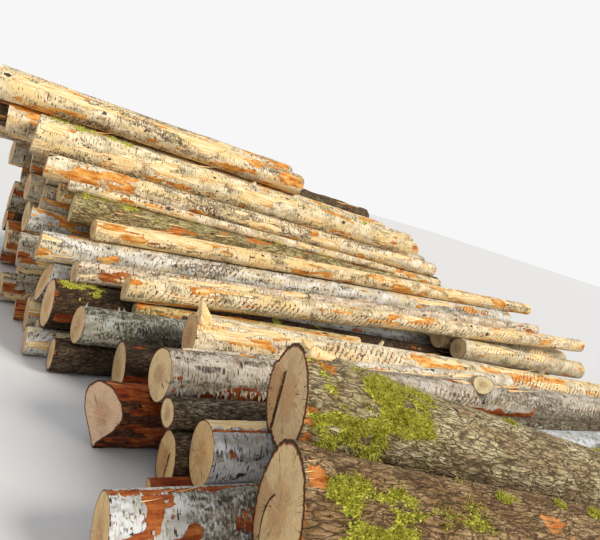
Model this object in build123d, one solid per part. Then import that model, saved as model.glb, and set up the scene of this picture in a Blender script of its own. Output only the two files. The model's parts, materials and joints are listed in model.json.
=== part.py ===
from build123d import *
import math
import os
from dataclasses import dataclass, field

import numpy as np

# A forest heap of felled stems, all lying along X with their sawn butts towards -X.
# Y runs across the heap from its low side to its high side, and Z is up.
# Each stem is lowered on to those already lying there until it rests, so a changed girth,
# length or clearance seats the whole heap anew.

# Lengths and tapers, in millimetres
LOG_LENGTH = 5000.0            # length that the stems were crosscut to
STEM_TAPER = 8.0               # loss of diameter for each metre of stem
THIN_STEM_TAPER = 6.0          # the same for stems under the thin girth
THIN_GIRTH = 170.0             # butt diameter under which a stem counts as thin
LEAST_TIP = 60.0               # no stem is thinner than this at its tip
FLARE_LENGTH = 420.0           # length of the swollen foot of a butt log
FLARE_SHARE = 0.08             # how much wider the foot is than the stem above it
BEND_STATION = 0.45            # share of its length at which a stem bows most
SEAT_CLEARANCE = 0.4           # air left between two stems that rest on each other

# Mossy hardwood logs on the low side
MOSSY_LENGTH = 4000.0
LOWER_MOSSY_GIRTH = 500.0
UPPER_MOSSY_GIRTH = 490.0
MOSSY_TAPER = 22.0

# Stems of the next shorter lengths
SHORT_LENGTH = 2000.0

# The heap is narrower at the tips, by about the share that the stems are thinner there
TIP_NARROWING = 0.8

# Outline of a stem across its length: flat strips round a slightly lobed ring
OUTLINE_STRIPS = 24
OVAL = 0.022                   # share by which a common stem is longer one way than round
THREE_LOBES = 0.014            # share that its three low lobes stand out

# Lowering the stems
STATION_STEP = 25.0            # spacing of the places along X where gaps are measured
FIRST_DROP = 30.0
LAST_DROP = 0.03
GAP_TOLERANCE = 0.01
MOST_PUSHES = 80
LEAN = 0.6                     # sideways share of a drop, for a stem rolled against its neighbour
GRIP = 0.35                    # how steeply a stem can lie on another without rolling off
NOTHING = -1.0e6               # radius of a stem past its ends, so that it meets nothing there
BEARINGS = 180                 # directions across the heap in which outlines are measured
BEARING_SPREAD = 20            # how many of them are tried on either side of the nearest


@dataclass
class Log:
    """One stem: where its butt and tip are wanted, and its form."""

    name: str
    butt_x: float
    butt_y: float
    start_z: float             # height of the axis when the lowering starts
    girth: float               # diameter at the butt
    tip_y: float
    trim: float = 0.0          # how much longer than the common length it was cut
    bow: tuple = (0.0, 0.0)    # bend of the stem, in Y and Z
    foot: bool = False         # a butt log keeps the swollen foot of the tree
    slant: tuple = (0.0, 0.0)  # turn of the butt's saw cut, to the side and upwards, in degrees
    lean: int = 0              # -1 rolls the stem towards the low side, 1 towards the high side
    oval: float = OVAL
    lobes: float = THREE_LOBES
    roll: float = 0.0          # which way the outline is turned, in degrees
    length: float = 0.0
    taper: float = 0.0
    shares: list = field(default_factory=list)
    radii: list = field(default_factory=list)
    bows: list = field(default_factory=list)
    place: list = field(default_factory=list)

    def form(self):
        """Works out the stem's sections: share of its length, radius and bow."""
        self.length = self.length or LOG_LENGTH + self.trim
        self.taper = self.taper or (THIN_STEM_TAPER if self.girth < THIN_GIRTH else STEM_TAPER)
        self.span = math.sqrt(self.length ** 2 - (self.tip_y - self.butt_y) ** 2)
        butt = self.girth / 2.0
        self.overhang = butt * max(abs(math.tan(math.radians(angle))) for angle in self.slant)
        base = butt / (1.0 + FLARE_SHARE) if self.foot else butt
        tip = max(LEAST_TIP / 2.0, base - self.taper * self.length / 2000.0)
        self.shares = [0.0, BEND_STATION, 1.0]
        if self.foot:
            straight = (self.overhang + STATION_STEP) / self.length
            self.shares[1:1] = [straight, straight + FLARE_LENGTH / self.length]
        self.radii = [base + (tip - base) * share for share in self.shares]
        if self.foot:
            self.radii[:2] = [butt, butt]
        bends = np.interp(self.shares, (0.0, BEND_STATION, 1.0), (0.0, 1.0, 0.0))
        self.bows = [(self.bow[0] * bend, self.bow[1] * bend) for bend in bends]

    def outline(self):
        """Corners of the stem's section for a radius of one, as Y and Z.

        A stem that lies askew is cut at an angle by a plane across X, so it is wider there.
        """
        askew = self.length / self.span
        corners = []
        for strip in range(OUTLINE_STRIPS):
            angle = 2.0 * math.pi * (strip + 0.5) / OUTLINE_STRIPS
            turned = angle - math.radians(self.roll)
            radius = 1.0 + self.oval * math.cos(2.0 * turned) + self.lobes * math.cos(3.0 * turned)
            corners.append((askew * radius * math.cos(angle), radius * math.sin(angle)))
        return corners

    def centre(self, index):
        """Centre of one section, as X, Y and Z."""
        butt_y, butt_z, tip_y, tip_z = self.place
        share = self.shares[index]
        y = butt_y + (tip_y - butt_y) * share + self.bows[index][0]
        z = butt_z + (tip_z - butt_z) * share + self.bows[index][1]
        return np.array((self.butt_x + self.span * share, y, z))

    def ring(self, index):
        """Corners of one section, in its plane across X."""
        flat = np.array(self.outline()) * self.radii[index]
        return self.centre(index) + np.column_stack([np.zeros(len(flat)), flat])

    def rings(self):
        """Corners of all sections, with the butt's turned to the slant of its saw cut."""
        rings = [self.ring(index) for index in range(len(self.shares))]
        side, up = (math.tan(math.radians(angle)) for angle in self.slant)
        start = self.centre(0)
        for corner, onward in zip(rings[0], rings[1]):
            run = onward - corner
            rise = side * (corner[1] - start[1]) + up * (corner[2] - start[2])
            corner += run * rise / (run[0] - side * run[1] - up * run[2])
        return rings


ANGLES = 2.0 * math.pi * np.arange(BEARINGS) / BEARINGS
COSINES = np.cos(ANGLES)
SINES = np.sin(ANGLES)
SPREAD = np.arange(-BEARING_SPREAD, BEARING_SPREAD + 1)


def extents(log):
    """How far the stem's outline of radius one reaches in each bearing."""
    corners = np.array(log.outline())
    return (corners @ np.array([COSINES, SINES])).max(axis=0)


class Resting:
    """The stems that already lie still, sampled at stations along X."""

    def __init__(self, logs):
        first = min(log.butt_x for log in logs)
        last = max(log.butt_x + log.span for log in logs)
        self.xs = np.arange(first, last + STATION_STEP, STATION_STEP)
        self.ys = np.empty((0, len(self.xs)))
        self.zs = np.empty((0, len(self.xs)))
        self.rs = np.empty((0, len(self.xs)))
        self.extents = np.empty((0, BEARINGS))

    def sample(self, log):
        """Share along the stem, radius and bows at each station, with nothing past its ends."""
        share = (self.xs - log.butt_x) / log.span
        before = (STATION_STEP + log.overhang) / log.span
        inside = (share > -before) & (share < 1.0 + STATION_STEP / log.span)
        share = np.clip(share, 0.0, 1.0)
        radius = np.where(inside, np.interp(share, log.shares, log.radii), NOTHING)
        bow_y = np.interp(share, log.shares, [bow[0] for bow in log.bows])
        bow_z = np.interp(share, log.shares, [bow[1] for bow in log.bows])
        return share, radius, bow_y, bow_z

    def add(self, log):
        """Takes in a stem that has come to rest."""
        share, radius, bow_y, bow_z = self.sample(log)
        butt_y, butt_z, tip_y, tip_z = log.place
        self.ys = np.vstack([self.ys, butt_y + (tip_y - butt_y) * share + bow_y])
        self.zs = np.vstack([self.zs, butt_z + (tip_z - butt_z) * share + bow_z])
        self.rs = np.vstack([self.rs, radius])
        self.extents = np.vstack([self.extents, extents(log)])

    def lower(self, log):
        """Lowers a stem until it rests on the ground and on its neighbours."""
        share, radius, bow_y, bow_z = self.sample(log)
        ys, zs, rs, others = self.ys, self.zs, self.rs, self.extents
        own = extents(log)
        foot = own[3 * BEARINGS // 4]
        reach = rs * others.max(axis=1, initial=0.0)[:, None] + radius * own.max() + SEAT_CLEARANCE

        def tightest(q):
            """Where the stem runs deepest into another or the ground: how far, as a negative gap,
            at which station, and which way leads out."""
            y = q[0] + (q[2] - q[0]) * share + bow_y
            z = q[1] + (q[3] - q[1]) * share + bow_z
            floor = z - radius * foot
            station = int(np.argmin(floor))
            found = (floor[station], station, (0.0, 1.0))
            dy = y - ys
            dz = z - zs
            row, col = np.nonzero(np.hypot(dy, dz) < reach)
            if len(row):
                dy, dz = dy[row, col][:, None], dz[row, col][:, None]
                nearest = np.rint(np.arctan2(dz, dy) / ANGLES[1]).astype(int)
                bearing = (nearest + SPREAD) % BEARINGS
                apart = dy * COSINES[bearing] + dz * SINES[bearing] - SEAT_CLEARANCE
                theirs = rs[row, col][:, None] * others[row[:, None], bearing]
                mine = radius[col][:, None] * own[(bearing + BEARINGS // 2) % BEARINGS]
                gaps = apart - theirs - mine
                meeting = int(np.argmin(gaps.max(axis=1)))
                widest = int(np.argmax(gaps[meeting]))
                if gaps[meeting, widest] < found[0]:
                    out = bearing[meeting, widest]
                    found = (gaps[meeting, widest], int(col[meeting]), (COSINES[out], SINES[out]))
            return found

        def push_clear(q):
            """Moves the ends apart from what they run into, the deepest place first."""
            for _ in range(MOST_PUSHES):
                gap, station, normal = tightest(q)
                if gap > -GAP_TOLERANCE:
                    return q
                s = share[station]
                weight = (1.0 - s) ** 2 + s ** 2
                for end, part in ((0, 1.0 - s), (2, s)):
                    q[end] -= gap * normal[0] * part / weight
                    q[end + 1] -= gap * normal[1] * part / weight
            return None

        def potential(q):
            """What falls as the stem sinks, and rises as it drags its bark sideways."""
            if log.lean:
                return q[1] + q[3] - log.lean * LEAN * (q[0] + q[2])
            return q[1] + q[3] + GRIP * (abs(q[0] - log.butt_y) + abs(q[2] - log.tip_y))

        q = push_clear([log.butt_y, log.start_z, log.tip_y, log.start_z])
        drop = FIRST_DROP
        while q is not None and drop > LAST_DROP:
            moved = False
            for butt, tip in ((1.0, 1.0), (1.0, 0.0), (0.0, 1.0)):
                roll = log.lean * LEAN * drop
                trial = [q[0] + roll * butt, q[1] - drop * butt, q[2] + roll * tip, q[3] - drop * tip]
                trial = push_clear(trial)
                if trial is not None and potential(trial) < potential(q) - 0.1 * drop:
                    q = trial
                    moved = True
            if not moved:
                drop /= 2.0
        if q is None:
            raise ValueError(f"{log.name} finds no room")
        log.place = q


# Section of the stem with a heart-shaped butt
HEART = {"oval": 0.06, "lobes": 0.07, "roll": 90}


def apron_logs():
    """The low side, from the ground up, as the stems were thrown down one after another."""
    return [
        Log("near_side_log", 950, 170, 200, 300, -790, trim=-1000, roll=20),
        Log("wounded_birch_log", 290, 790, 180, 310, 800, roll=70, slant=(3, 0)),
        Log("thin_pale_log", 520, 1010, 80, 100, 980, trim=-1200, slant=(-6, 4)),
        Log("twin_stem_log", 690, 1260, 200, 280, 1200, oval=0.12, roll=80),
        Log("heart_butt_log", 430, 1620, 240, 360, 1500, foot=True, slant=(-28, 0), **HEART),
        Log("red_peeled_log", 640, 1930, 180, 245, 1760, lean=-1, slant=(-5, 0)),
        Log("barkless_log", 650, 2240, 240, 360, 2050, roll=110, slant=(2, -2)),
        Log("dark_rough_log", 290, 2540, 180, 235, 2330, bow=(15, 0), slant=(2, 3)),
        Log("thin_side_log", 150, 2750, 120, 195, 2520, trim=-200, lean=-1),
        Log("thin_red_log", 560, 1080, 260, 110, 1040, trim=-1400, slant=(5, -5)),
        Log("peeled_birch_log", 750, 1050, 480, 306, 1000, roll=30, slant=(4, 2)),
        Log("grey_thin_log", 650, 1300, 460, 165, 1250, trim=-600, slant=(-4, 0)),
        Log("knotted_birch_log", 640, 1540, 620, 290, 1500, bow=(0, 22), slant=(-3, 3), lean=-1),
        Log("under_birch_log", 940, 1900, 560, 150, 1760, bow=(12, 0)),
        Log("scarred_birch_log", 1000, 2110, 760, 300, 1560, trim=400, bow=(-18, 12), slant=(6, 2)),
        Log("slim_birch_log", 860, 1880, 760, 170, 1760, trim=-2200, slant=(4, 0)),
    ]


def mossy_logs():
    """Two thick mossy logs that lie askew across the low side."""
    size = {"foot": True, "length": MOSSY_LENGTH, "taper": MOSSY_TAPER, "oval": 0.03, "lobes": 0.02}
    return [
        Log("lower_mossy_log", 850, 515, 620, LOWER_MOSSY_GIRTH, -380, slant=(14, 4), roll=60, **size),
        Log("upper_mossy_log", 1020, 880, 900, UPPER_MOSSY_GIRTH, 40, slant=(12, -3), roll=100, **size),
    ]


def face_logs():
    """The steep side of the main heap, seen over the low side, from the ground up."""
    return [
        Log("side_birch_log", 230, 2960, 160, 190, 2700, slant=(3, 5)),
        Log("ground_face_log", 180, 3190, 200, 260, 2900, roll=45),
        Log("lichen_birch_log", 400, 2495, 560, 260, 2330, bow=(0, 18), slant=(-5, 6)),
        Log("moss_capped_log", 250, 2850, 620, 345, 2560, foot=True, roll=75, slant=(-3, 4)),
        Log("slant_cut_log", 240, 3190, 700, 300, 2880, slant=(0, 14), roll=15),
        Log("small_green_log", 780, 2665, 760, 115, 2560, trim=-3000),
        Log("bright_birch_log", 690, 2695, 900, 190, 2440, trim=200, bow=(0, 12), slant=(4, 8)),
        Log("torn_birch_log", 400, 3003, 900, 175, 2740, bow=(-10, 0), slant=(-6, 5)),
        Log("silver_birch_log", 160, 3247, 1000, 220, 2990, roll=50, slant=(2, 6)),
        Log("yellow_birch_log", 500, 3215, 1150, 165, 2935, bow=(10, 8), slant=(-4, 0)),
        Log("oval_butt_log", 100, 3560, 1100, 200, 3330, slant=(4, 4)),
        Log("green_bark_log", 350, 3440, 1250, 250, 3460, roll=130, slant=(3, 3)),
        Log("small_pale_log", 300, 3430, 1450, 95, 3420, trim=-1600),
    ]


def short_logs():
    """Shorter stems inside the heap, which hold up the tips of those on its face."""
    return [
        Log("short_logs_1", 3900, 2410, 900, 220, 2330, length=SHORT_LENGTH, slant=(3, 2)),
        Log("short_logs_2", 3850, 2650, 900, 240, 2560, length=SHORT_LENGTH, roll=30),
        Log("short_logs_3", 3950, 2890, 900, 210, 2800, length=SHORT_LENGTH, slant=(-4, 0)),
        Log("short_logs_4", 3900, 3120, 900, 230, 3030, length=SHORT_LENGTH, roll=60),
    ]


def crest_logs():
    """The stems along the top of the heap."""
    return [
        Log("silvery_log", 175, 3740, 1300, 255, 3700, trim=-300, slant=(3, 4)),
        Log("shaded_birch_log", 80, 3945, 1300, 245, 3900, trim=-500, slant=(-4, 3)),
        Log("pale_crest_log", 260, 3570, 1600, 170, 3600, trim=-700),
        Log("crest_birch_log", 130, 3560, 1600, 200, 3600, trim=-700, slant=(4, 4)),
        Log("low_crest_log", 200, 3870, 1600, 260, 3830, trim=-700, slant=(0, 4)),
        Log("moss_topped_birch_log", 30, 3790, 1900, 330, 3750, foot=True, trim=-1000, slant=(3, 5)),
    ]


# Inner stems, course by course from the ground: where the course starts, how far its tips lie
# towards the low side, how far it lies back along X, how much shorter it is, and its girths
COURSES = [
    (3430, -230, 0, 0, [160, 210, 240, 260, 300, 290, 310, 280, 240]),
    (3450, -230, 0, 0, [240, 280, 260, 300, 280, 310, 270, 250]),
    (3490, -200, 0, 0, [270, 300, 280, 310, 290, 260, 240]),
    (4200, -130, 0, 0, [250, 290, 270, 270]),
    (4150, -60, -100, 500, [270, 280, 260, 270]),
    (4090, 0, -420, 1000, [280, 270, 250]),
    (4030, 0, -520, 2000, [245, 230]),
]
COURSE_GAP = 8.0
COURSE_RISE = 330.0
RAGGED_BUTTS = [120, 260, 60, 320, 180, 380, 20, 240]
UNEVEN_TRIMS = [0, -150, 80, -60, 40, -220, 100]
UNEVEN_BOWS = [(0, 15), (12, 0), (-14, 6), (0, -10), (10, 10), (-8, 0)]
SAW_SLANTS = [(3, -2), (-4, 3), (0, 5), (5, 0), (-2, -4)]


def inner_logs():
    """The main heap's stems, laid course on course with ragged ends."""
    courses = []
    for course, (start, skew, ahead, cut, girths) in enumerate(COURSES):
        logs = []
        butt_y = start
        for place, girth in enumerate(girths):
            if place:
                butt_y += (girths[place - 1] + girth) / 2.0 + COURSE_GAP
            count = course * 5 + place * 3
            logs.append(
                Log(
                    f"course_{course + 1}_log_{place + 1}",
                    RAGGED_BUTTS[count % len(RAGGED_BUTTS)] + ahead,
                    butt_y,
                    260.0 + COURSE_RISE * course,
                    girth,
                    start + skew + (butt_y - start) * TIP_NARROWING,
                    trim=UNEVEN_TRIMS[count % len(UNEVEN_TRIMS)] - cut,
                    bow=UNEVEN_BOWS[count % len(UNEVEN_BOWS)],
                    slant=SAW_SLANTS[count % len(SAW_SLANTS)],
                    roll=37.0 * count,
                    lean=-1 if course == 0 and place else 0,
                )
            )
        courses.append(logs)
    return courses


def heap_logs():
    """All the stems, in the order in which they were laid down."""
    face = face_logs()
    crest = crest_logs()
    inner = inner_logs()
    logs = apron_logs() + face[:2] + inner[0] + face[2:5] + inner[1] + inner[2] + short_logs()
    logs += face[5:11] + crest[:2] + inner[3] + face[11:] + inner[4] + crest[2:] + inner[5] + inner[6]
    logs += mossy_logs()
    for log in logs:
        log.form()
    return logs


def settle(logs):
    """Lowers every stem in turn, and returns them at rest."""
    resting = Resting(logs)
    for log in logs:
        resting.lower(log)
        resting.add(log)
    return logs


def stem(log):
    """The solid of one stem, lofted straight from section to section."""
    wires = [Wire.make_polygon([Vector(*corner) for corner in ring]) for ring in log.rings()]
    return Solid.make_loft(wires, ruled=True)


def node_name(log):
    """The node that a stem belongs to: its own, or that of its course inside the heap."""
    if log.name.startswith("course_"):
        return "inner_logs_" + log.name.split("_log_")[0]
    if log.name.startswith("short_logs_"):
        return "short_logs"
    return log.name


def main():
    """Settles the heap, builds each stem and writes one file for each node."""
    os.makedirs("parts", exist_ok=True)
    nodes = {}
    for log in settle(heap_logs()):
        nodes.setdefault(node_name(log), []).append(stem(log))
    boxes = [solid.bounding_box() for solids in nodes.values() for solid in solids]
    middle_x = (min(box.min.X for box in boxes) + max(box.max.X for box in boxes)) / 2.0
    middle_y = (min(box.min.Y for box in boxes) + max(box.max.Y for box in boxes)) / 2.0
    lowest = min(box.min.Z for box in boxes)
    shift = Location((-middle_x, -middle_y, -lowest))
    for node, solids in nodes.items():
        placed = [solid.moved(shift) for solid in solids]
        shape = placed[0] if len(placed) == 1 else Compound(placed)
        export_step(shape, f"parts/{node}.step")


if __name__ == "__main__":
    main()
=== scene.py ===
import json
import logging
import math
from dataclasses import dataclass, field
from enum import Enum
from typing import Any

import bpy
import numpy as np
from mathutils import Matrix, Vector


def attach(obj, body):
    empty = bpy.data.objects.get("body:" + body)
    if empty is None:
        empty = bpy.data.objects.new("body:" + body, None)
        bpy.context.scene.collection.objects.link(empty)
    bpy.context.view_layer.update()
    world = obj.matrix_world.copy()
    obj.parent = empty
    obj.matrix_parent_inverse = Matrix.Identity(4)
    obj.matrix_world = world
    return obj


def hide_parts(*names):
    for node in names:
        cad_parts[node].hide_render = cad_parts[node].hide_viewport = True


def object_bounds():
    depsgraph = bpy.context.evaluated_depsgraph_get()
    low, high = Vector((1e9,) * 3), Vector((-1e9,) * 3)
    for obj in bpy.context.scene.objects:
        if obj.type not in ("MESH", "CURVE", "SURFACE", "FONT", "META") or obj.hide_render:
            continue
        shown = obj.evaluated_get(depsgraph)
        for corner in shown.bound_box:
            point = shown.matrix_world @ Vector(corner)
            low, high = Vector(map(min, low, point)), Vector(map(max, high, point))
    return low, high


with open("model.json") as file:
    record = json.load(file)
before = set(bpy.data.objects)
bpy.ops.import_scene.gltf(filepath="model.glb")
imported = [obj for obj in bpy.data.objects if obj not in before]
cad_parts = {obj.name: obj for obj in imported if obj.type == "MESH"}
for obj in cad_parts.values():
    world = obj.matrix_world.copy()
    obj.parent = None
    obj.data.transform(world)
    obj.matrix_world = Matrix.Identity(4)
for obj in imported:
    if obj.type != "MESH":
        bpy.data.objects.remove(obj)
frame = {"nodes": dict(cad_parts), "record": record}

# A forest heap of felled stems, in metres: +X runs from the sawn butts to the tips, +Y across
# the heap from its low side to its high side, and Z is up. Each stem's skin follows its solid
# in the frame, and gets its bark relief, knots, scrapes, moss and sawn ends here. Bearings run
# round a stem: 0 degrees faces the high side, 90 up and 180 the low side.

log = logging.getLogger("heap")
CAD_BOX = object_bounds()
BEARINGS = 96                   # directions in which a solid's sections are measured
SECTIONS = 26                   # sections read along each solid
TURN = 2.0 * math.pi            # a full turn in radians
AXIS = np.array([1.0, 0.0, 0.0])
TORN_WOOD = "#fff2dc"           # tint of freshly torn fibres
CUT_BRANCH = "#ffecb4"          # wood of a branch that was cut off when fresh


class Bark(Enum):
    """What the side of a stem looks like."""

    BIRCH = "birch_paper_bark"
    ROUGH = "furrowed_bark"
    MOSSY = "old_mossy_bark"
    BARE = "stripped_wood"


def linear(colour: str) -> tuple[float, float, float, float]:
    """Turns an sRGB hex colour into the linear one that a shader takes.

    Args:
        colour: The colour as "#rrggbb".

    Returns:
        Red, green, blue and an alpha of one.
    """
    parts = [int(colour[i:i + 2], 16) / 255.0 for i in (1, 3, 5)]
    red, green, blue = (c / 12.92 if c <= 0.04045 else ((c + 0.055) / 1.055) ** 2.4 for c in parts)
    return red, green, blue, 1.0


def hashed(cells: np.ndarray, seed: int) -> np.ndarray:
    """Gives every cell of a lattice its own fixed number from 0 to 1.

    Args:
        cells: Whole-numbered cells, one row of three each.
        seed: Which set of numbers to give.

    Returns:
        One number for each cell.
    """
    # Large odd factors and shifts spread each cell's bits over 32 places
    mask = np.int64(0xFFFFFFFF)
    mixed = cells[..., 0] * 374761393 + cells[..., 1] * 668265263 + cells[..., 2] * 1440662683
    mixed = (mixed + seed * 974711) & mask
    mixed = ((mixed ^ (mixed >> 13)) * 1274126177) & mask
    mixed = ((mixed ^ (mixed >> 15)) * 461845907) & mask
    return (mixed >> 8).astype(float) / float(1 << 24)


def smooth_noise(points: np.ndarray, seed: int, octaves: int = 1) -> np.ndarray:
    """Smooth random relief, from 0 to 1, with a feature size of one unit.

    Args:
        points: Points in units of the largest feature.
        seed: Which relief to give.
        octaves: How many layers, each twice as fine as the last.

    Returns:
        One height for each point.
    """
    total = np.zeros(points.shape[:-1])
    weight = 1.0
    weights = 0.0
    for octave in range(octaves):
        scaled = points * 2.0 ** octave + 17.3 * octave
        cell = np.floor(scaled).astype(np.int64)
        part = scaled - cell
        part = part * part * (3.0 - 2.0 * part)
        for corner in range(8):
            step = np.array([corner & 1, corner >> 1 & 1, corner >> 2 & 1])
            share = np.prod(np.where(step, part, 1.0 - part), axis=-1)
            total += weight * share * hashed(cell + step, seed + octave)
        weights += weight
        weight *= 0.5
    return total / weights


def plate_edges(points: np.ndarray, seed: int) -> np.ndarray:
    """How far each point lies from the edge of its plate, in plate widths.

    Args:
        points: Points in units of a plate's width.
        seed: Which plates to lay.

    Returns:
        Zero in the cracks, up to about one in the middle of a plate.
    """
    cell = np.floor(points).astype(np.int64)
    nearest = np.full(points.shape[:-1], 9.0)
    second = np.full(points.shape[:-1], 9.0)
    for offset in np.ndindex(3, 3, 3):
        near = cell + np.array(offset) - 1
        seat = near + np.stack([hashed(near, seed + axis) for axis in range(3)], axis=-1)
        reach = np.linalg.norm(seat - points, axis=-1)
        second = np.minimum(second, np.maximum(reach, nearest))
        nearest = np.minimum(nearest, reach)
    return second - nearest


def ease(value: np.ndarray, low: float, high: float) -> np.ndarray:
    """Rises smoothly from 0 where a value is low to 1 where it is high."""
    share = np.clip((value - low) / (high - low), 0.0, 1.0)
    return share * share * (3.0 - 2.0 * share)

def apart(angles: np.ndarray, bearing: float) -> np.ndarray:
    """How far each bearing is turned from another one, in radians."""
    return np.abs(np.mod(angles - bearing + math.pi, TURN) - math.pi)


def directions(angles: np.ndarray) -> tuple[np.ndarray, np.ndarray]:
    """The way out of a stem at bearings in radians, and the way round it towards higher ones."""
    level, across, up = np.zeros_like(angles), np.cos(angles), np.sin(angles)
    return np.stack([level, across, up], axis=-1), np.stack([level, -up, across], axis=-1)


@dataclass
class Stem:
    """One stem's solid, read as sections from its sawn butt to its tip."""

    points: np.ndarray
    corners: np.ndarray
    butt: np.ndarray = field(init=False)
    facing: np.ndarray = field(init=False)
    start: float = field(init=False)
    end: float = field(init=False)

    def __post_init__(self) -> None:
        """Finds the butt's plane and measures the sections."""
        a, b, c = (self.points[self.corners[:, k]] for k in range(3))
        normals = np.cross(b - a, c - a)
        sizes = np.linalg.norm(normals, axis=1)
        flat = normals[:, 0] < -0.6 * sizes
        weights = sizes[flat][:, None]
        self.butt = ((a + b + c)[flat] / 3.0 * weights).sum(axis=0) / weights.sum()
        self.facing = normals[flat].sum(axis=0) / np.linalg.norm(normals[flat].sum(axis=0))
        self.start = float(self.butt[0])
        self.end = float(self.points[:, 0].max())
        first = float(self.points[np.unique(self.corners[flat]), 0].max()) + 0.002
        self.stations = np.linspace(first, self.end - 0.002, SECTIONS)
        edges = np.vstack([self.corners[:, [0, 1]], self.corners[:, [1, 2]], self.corners[:, [2, 0]]])
        rows = [self.section(edges, station) for station in self.stations]
        self.middles = np.array([row[0] for row in rows])
        self.reaches = np.array([row[1] for row in rows])

    def section(self, edges: np.ndarray, station: float) -> tuple[np.ndarray, np.ndarray]:
        """Cuts the solid across X.

        Args:
            edges: Pairs of corners.
            station: Where to cut.

        Returns:
            The section's centre in Y and Z, and its reach from there in every bearing.
        """
        low, high = self.points[edges[:, 0]], self.points[edges[:, 1]]
        cut = (low[:, 0] < station) & (high[:, 0] >= station)
        share = ((station - low[cut, 0]) / (high[cut, 0] - low[cut, 0]))[:, None]
        ring = low[cut, 1:] + (high[cut, 1:] - low[cut, 1:]) * share
        middle = (ring.min(axis=0) + ring.max(axis=0)) / 2.0
        arms = ring - middle
        angles = np.arctan2(arms[:, 1], arms[:, 0])
        order = np.argsort(angles)
        reach = np.interp(
            np.linspace(0.0, TURN, BEARINGS, endpoint=False), angles[order],
            np.linalg.norm(arms[order], axis=1), period=TURN,
        )
        return middle, reach

    def middle(self, x: np.ndarray) -> np.ndarray:
        """Y and Z of the centre line at stations along X, carried on straight before the first section."""
        return np.stack([self.carried(x, self.middles[:, k]) for k in range(2)], axis=-1)

    def carried(self, x: np.ndarray, values: np.ndarray) -> np.ndarray:
        """Reads values between the sections, and straight on past the first of them.

        Args:
            x: Stations along X.
            values: One value for each section.

        Returns:
            One value for each station.
        """
        slope = (values[1] - values[0]) / (self.stations[1] - self.stations[0])
        before = np.minimum(x - self.stations[0], 0.0)
        return np.interp(x, self.stations, values) + slope * before

    def reach(self, x: np.ndarray, angles: np.ndarray) -> np.ndarray:
        """Radius at every station and bearing.

        Args:
            x: Stations along X.
            angles: Bearings in radians.

        Returns:
            One row of radii for each station.
        """
        turn = np.mod(angles, TURN) / TURN * BEARINGS
        left = np.floor(turn).astype(int)
        part = turn - left
        columns = self.reaches[:, left % BEARINGS] * (1.0 - part) + self.reaches[:, (left + 1) % BEARINGS] * part
        return np.stack([self.carried(x, columns[:, k]) for k in range(len(angles))], axis=-1)

    def saw_plane(self, y: np.ndarray, z: np.ndarray) -> np.ndarray:
        """X of the butt's saw cut at places across the stem."""
        _, ny, nz = self.facing / self.facing[0]
        return self.butt[0] - ny * (y - self.butt[1]) - nz * (z - self.butt[2])


def read_stems(node: str) -> list[Stem]:
    """Reads the solids of a node from its mesh in the frame.

    Args:
        node: The node's name.

    Returns:
        Its stems, in the order of their butts across the heap.
    """
    mesh = frame["nodes"][node].data
    mesh.calc_loop_triangles()
    points = np.empty(len(mesh.vertices) * 3, np.float32)
    mesh.vertices.foreach_get("co", points)
    corners = np.empty(len(mesh.loop_triangles) * 3, np.int32)
    mesh.loop_triangles.foreach_get("vertices", corners)
    points, merged = np.unique(np.round(points.reshape(-1, 3).astype(float), 5), axis=0, return_inverse=True)
    corners = merged.ravel()[corners].reshape(-1, 3)
    owner = np.arange(len(points))
    while True:
        least = np.minimum.reduce([owner[corners[:, k]] for k in range(3)])
        before = owner.copy()
        for k in range(3):
            np.minimum.at(owner, corners[:, k], least)
        owner = owner[owner]
        if np.array_equal(owner, before):
            break
    stems = []
    for first in np.unique(owner[corners[:, 0]]):
        own = corners[owner[corners[:, 0]] == first]
        used, renumbered = np.unique(own, return_inverse=True)
        stems.append(Stem(points[used], renumbered.reshape(-1, 3)))
    return sorted(stems, key=lambda stem: (stem.butt[1], stem.butt[2]))


class Mask(Enum):
    """What a patch on a stem's side is."""

    PEEL = "peel"       # bark off, down to the wood
    STAIN = "stain"     # inner bark, orange where fresh and red-brown where old; on the shaded stems the red-brown is also painted shade
    MOSS = "moss"
    KNOT = "knot"       # black scar of a lost branch; on the wounded birch it also paints shade
    SLIT = "slit"       # rows of slits that the harvester's feed rollers left
    GRIME = "grime"     # weathered bark, grey-brown and crackled; on the wounded birch also painted shade


CARRIED = tuple(mask.value for mask in Mask) + ("crack", "rim", "arc")     # numbers that every point carries


@dataclass(frozen=True)
class Patch:
    """An area of a stem's side."""

    mask: Mask
    start: float        # metres from the butt
    end: float
    low: float          # degrees round the stem
    high: float
    strength: float = 1.0
    soft: float = 0.03  # metres over which it fades

    def cover(self, along: np.ndarray, angles: np.ndarray, radius: float, wander: np.ndarray) -> np.ndarray:
        """How strongly the patch covers each place of the side.

        Args:
            along: Metres from the butt, one for each row.
            angles: Bearings in radians, one for each column.
            radius: The stem's mean radius.
            wander: How far the patch's edge strays at each place, in metres.

        Returns:
            Rows of cover from 0 to the patch's strength.
        """
        middle = math.radians((self.low + self.high) / 2.0)
        half = math.radians(self.high - self.low) / 2.0
        stray = wander * min(1.0, (self.end - max(self.start, 0.0)) / 0.25)
        inside_x = np.minimum(along - self.start, self.end - along)[:, None] + stray
        inside_a = (half - apart(angles, middle)) * radius + stray * min(1.0, half * radius / 0.06)
        return self.strength * ease(inside_x, -self.soft, self.soft) * ease(inside_a, -self.soft, self.soft)


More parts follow.
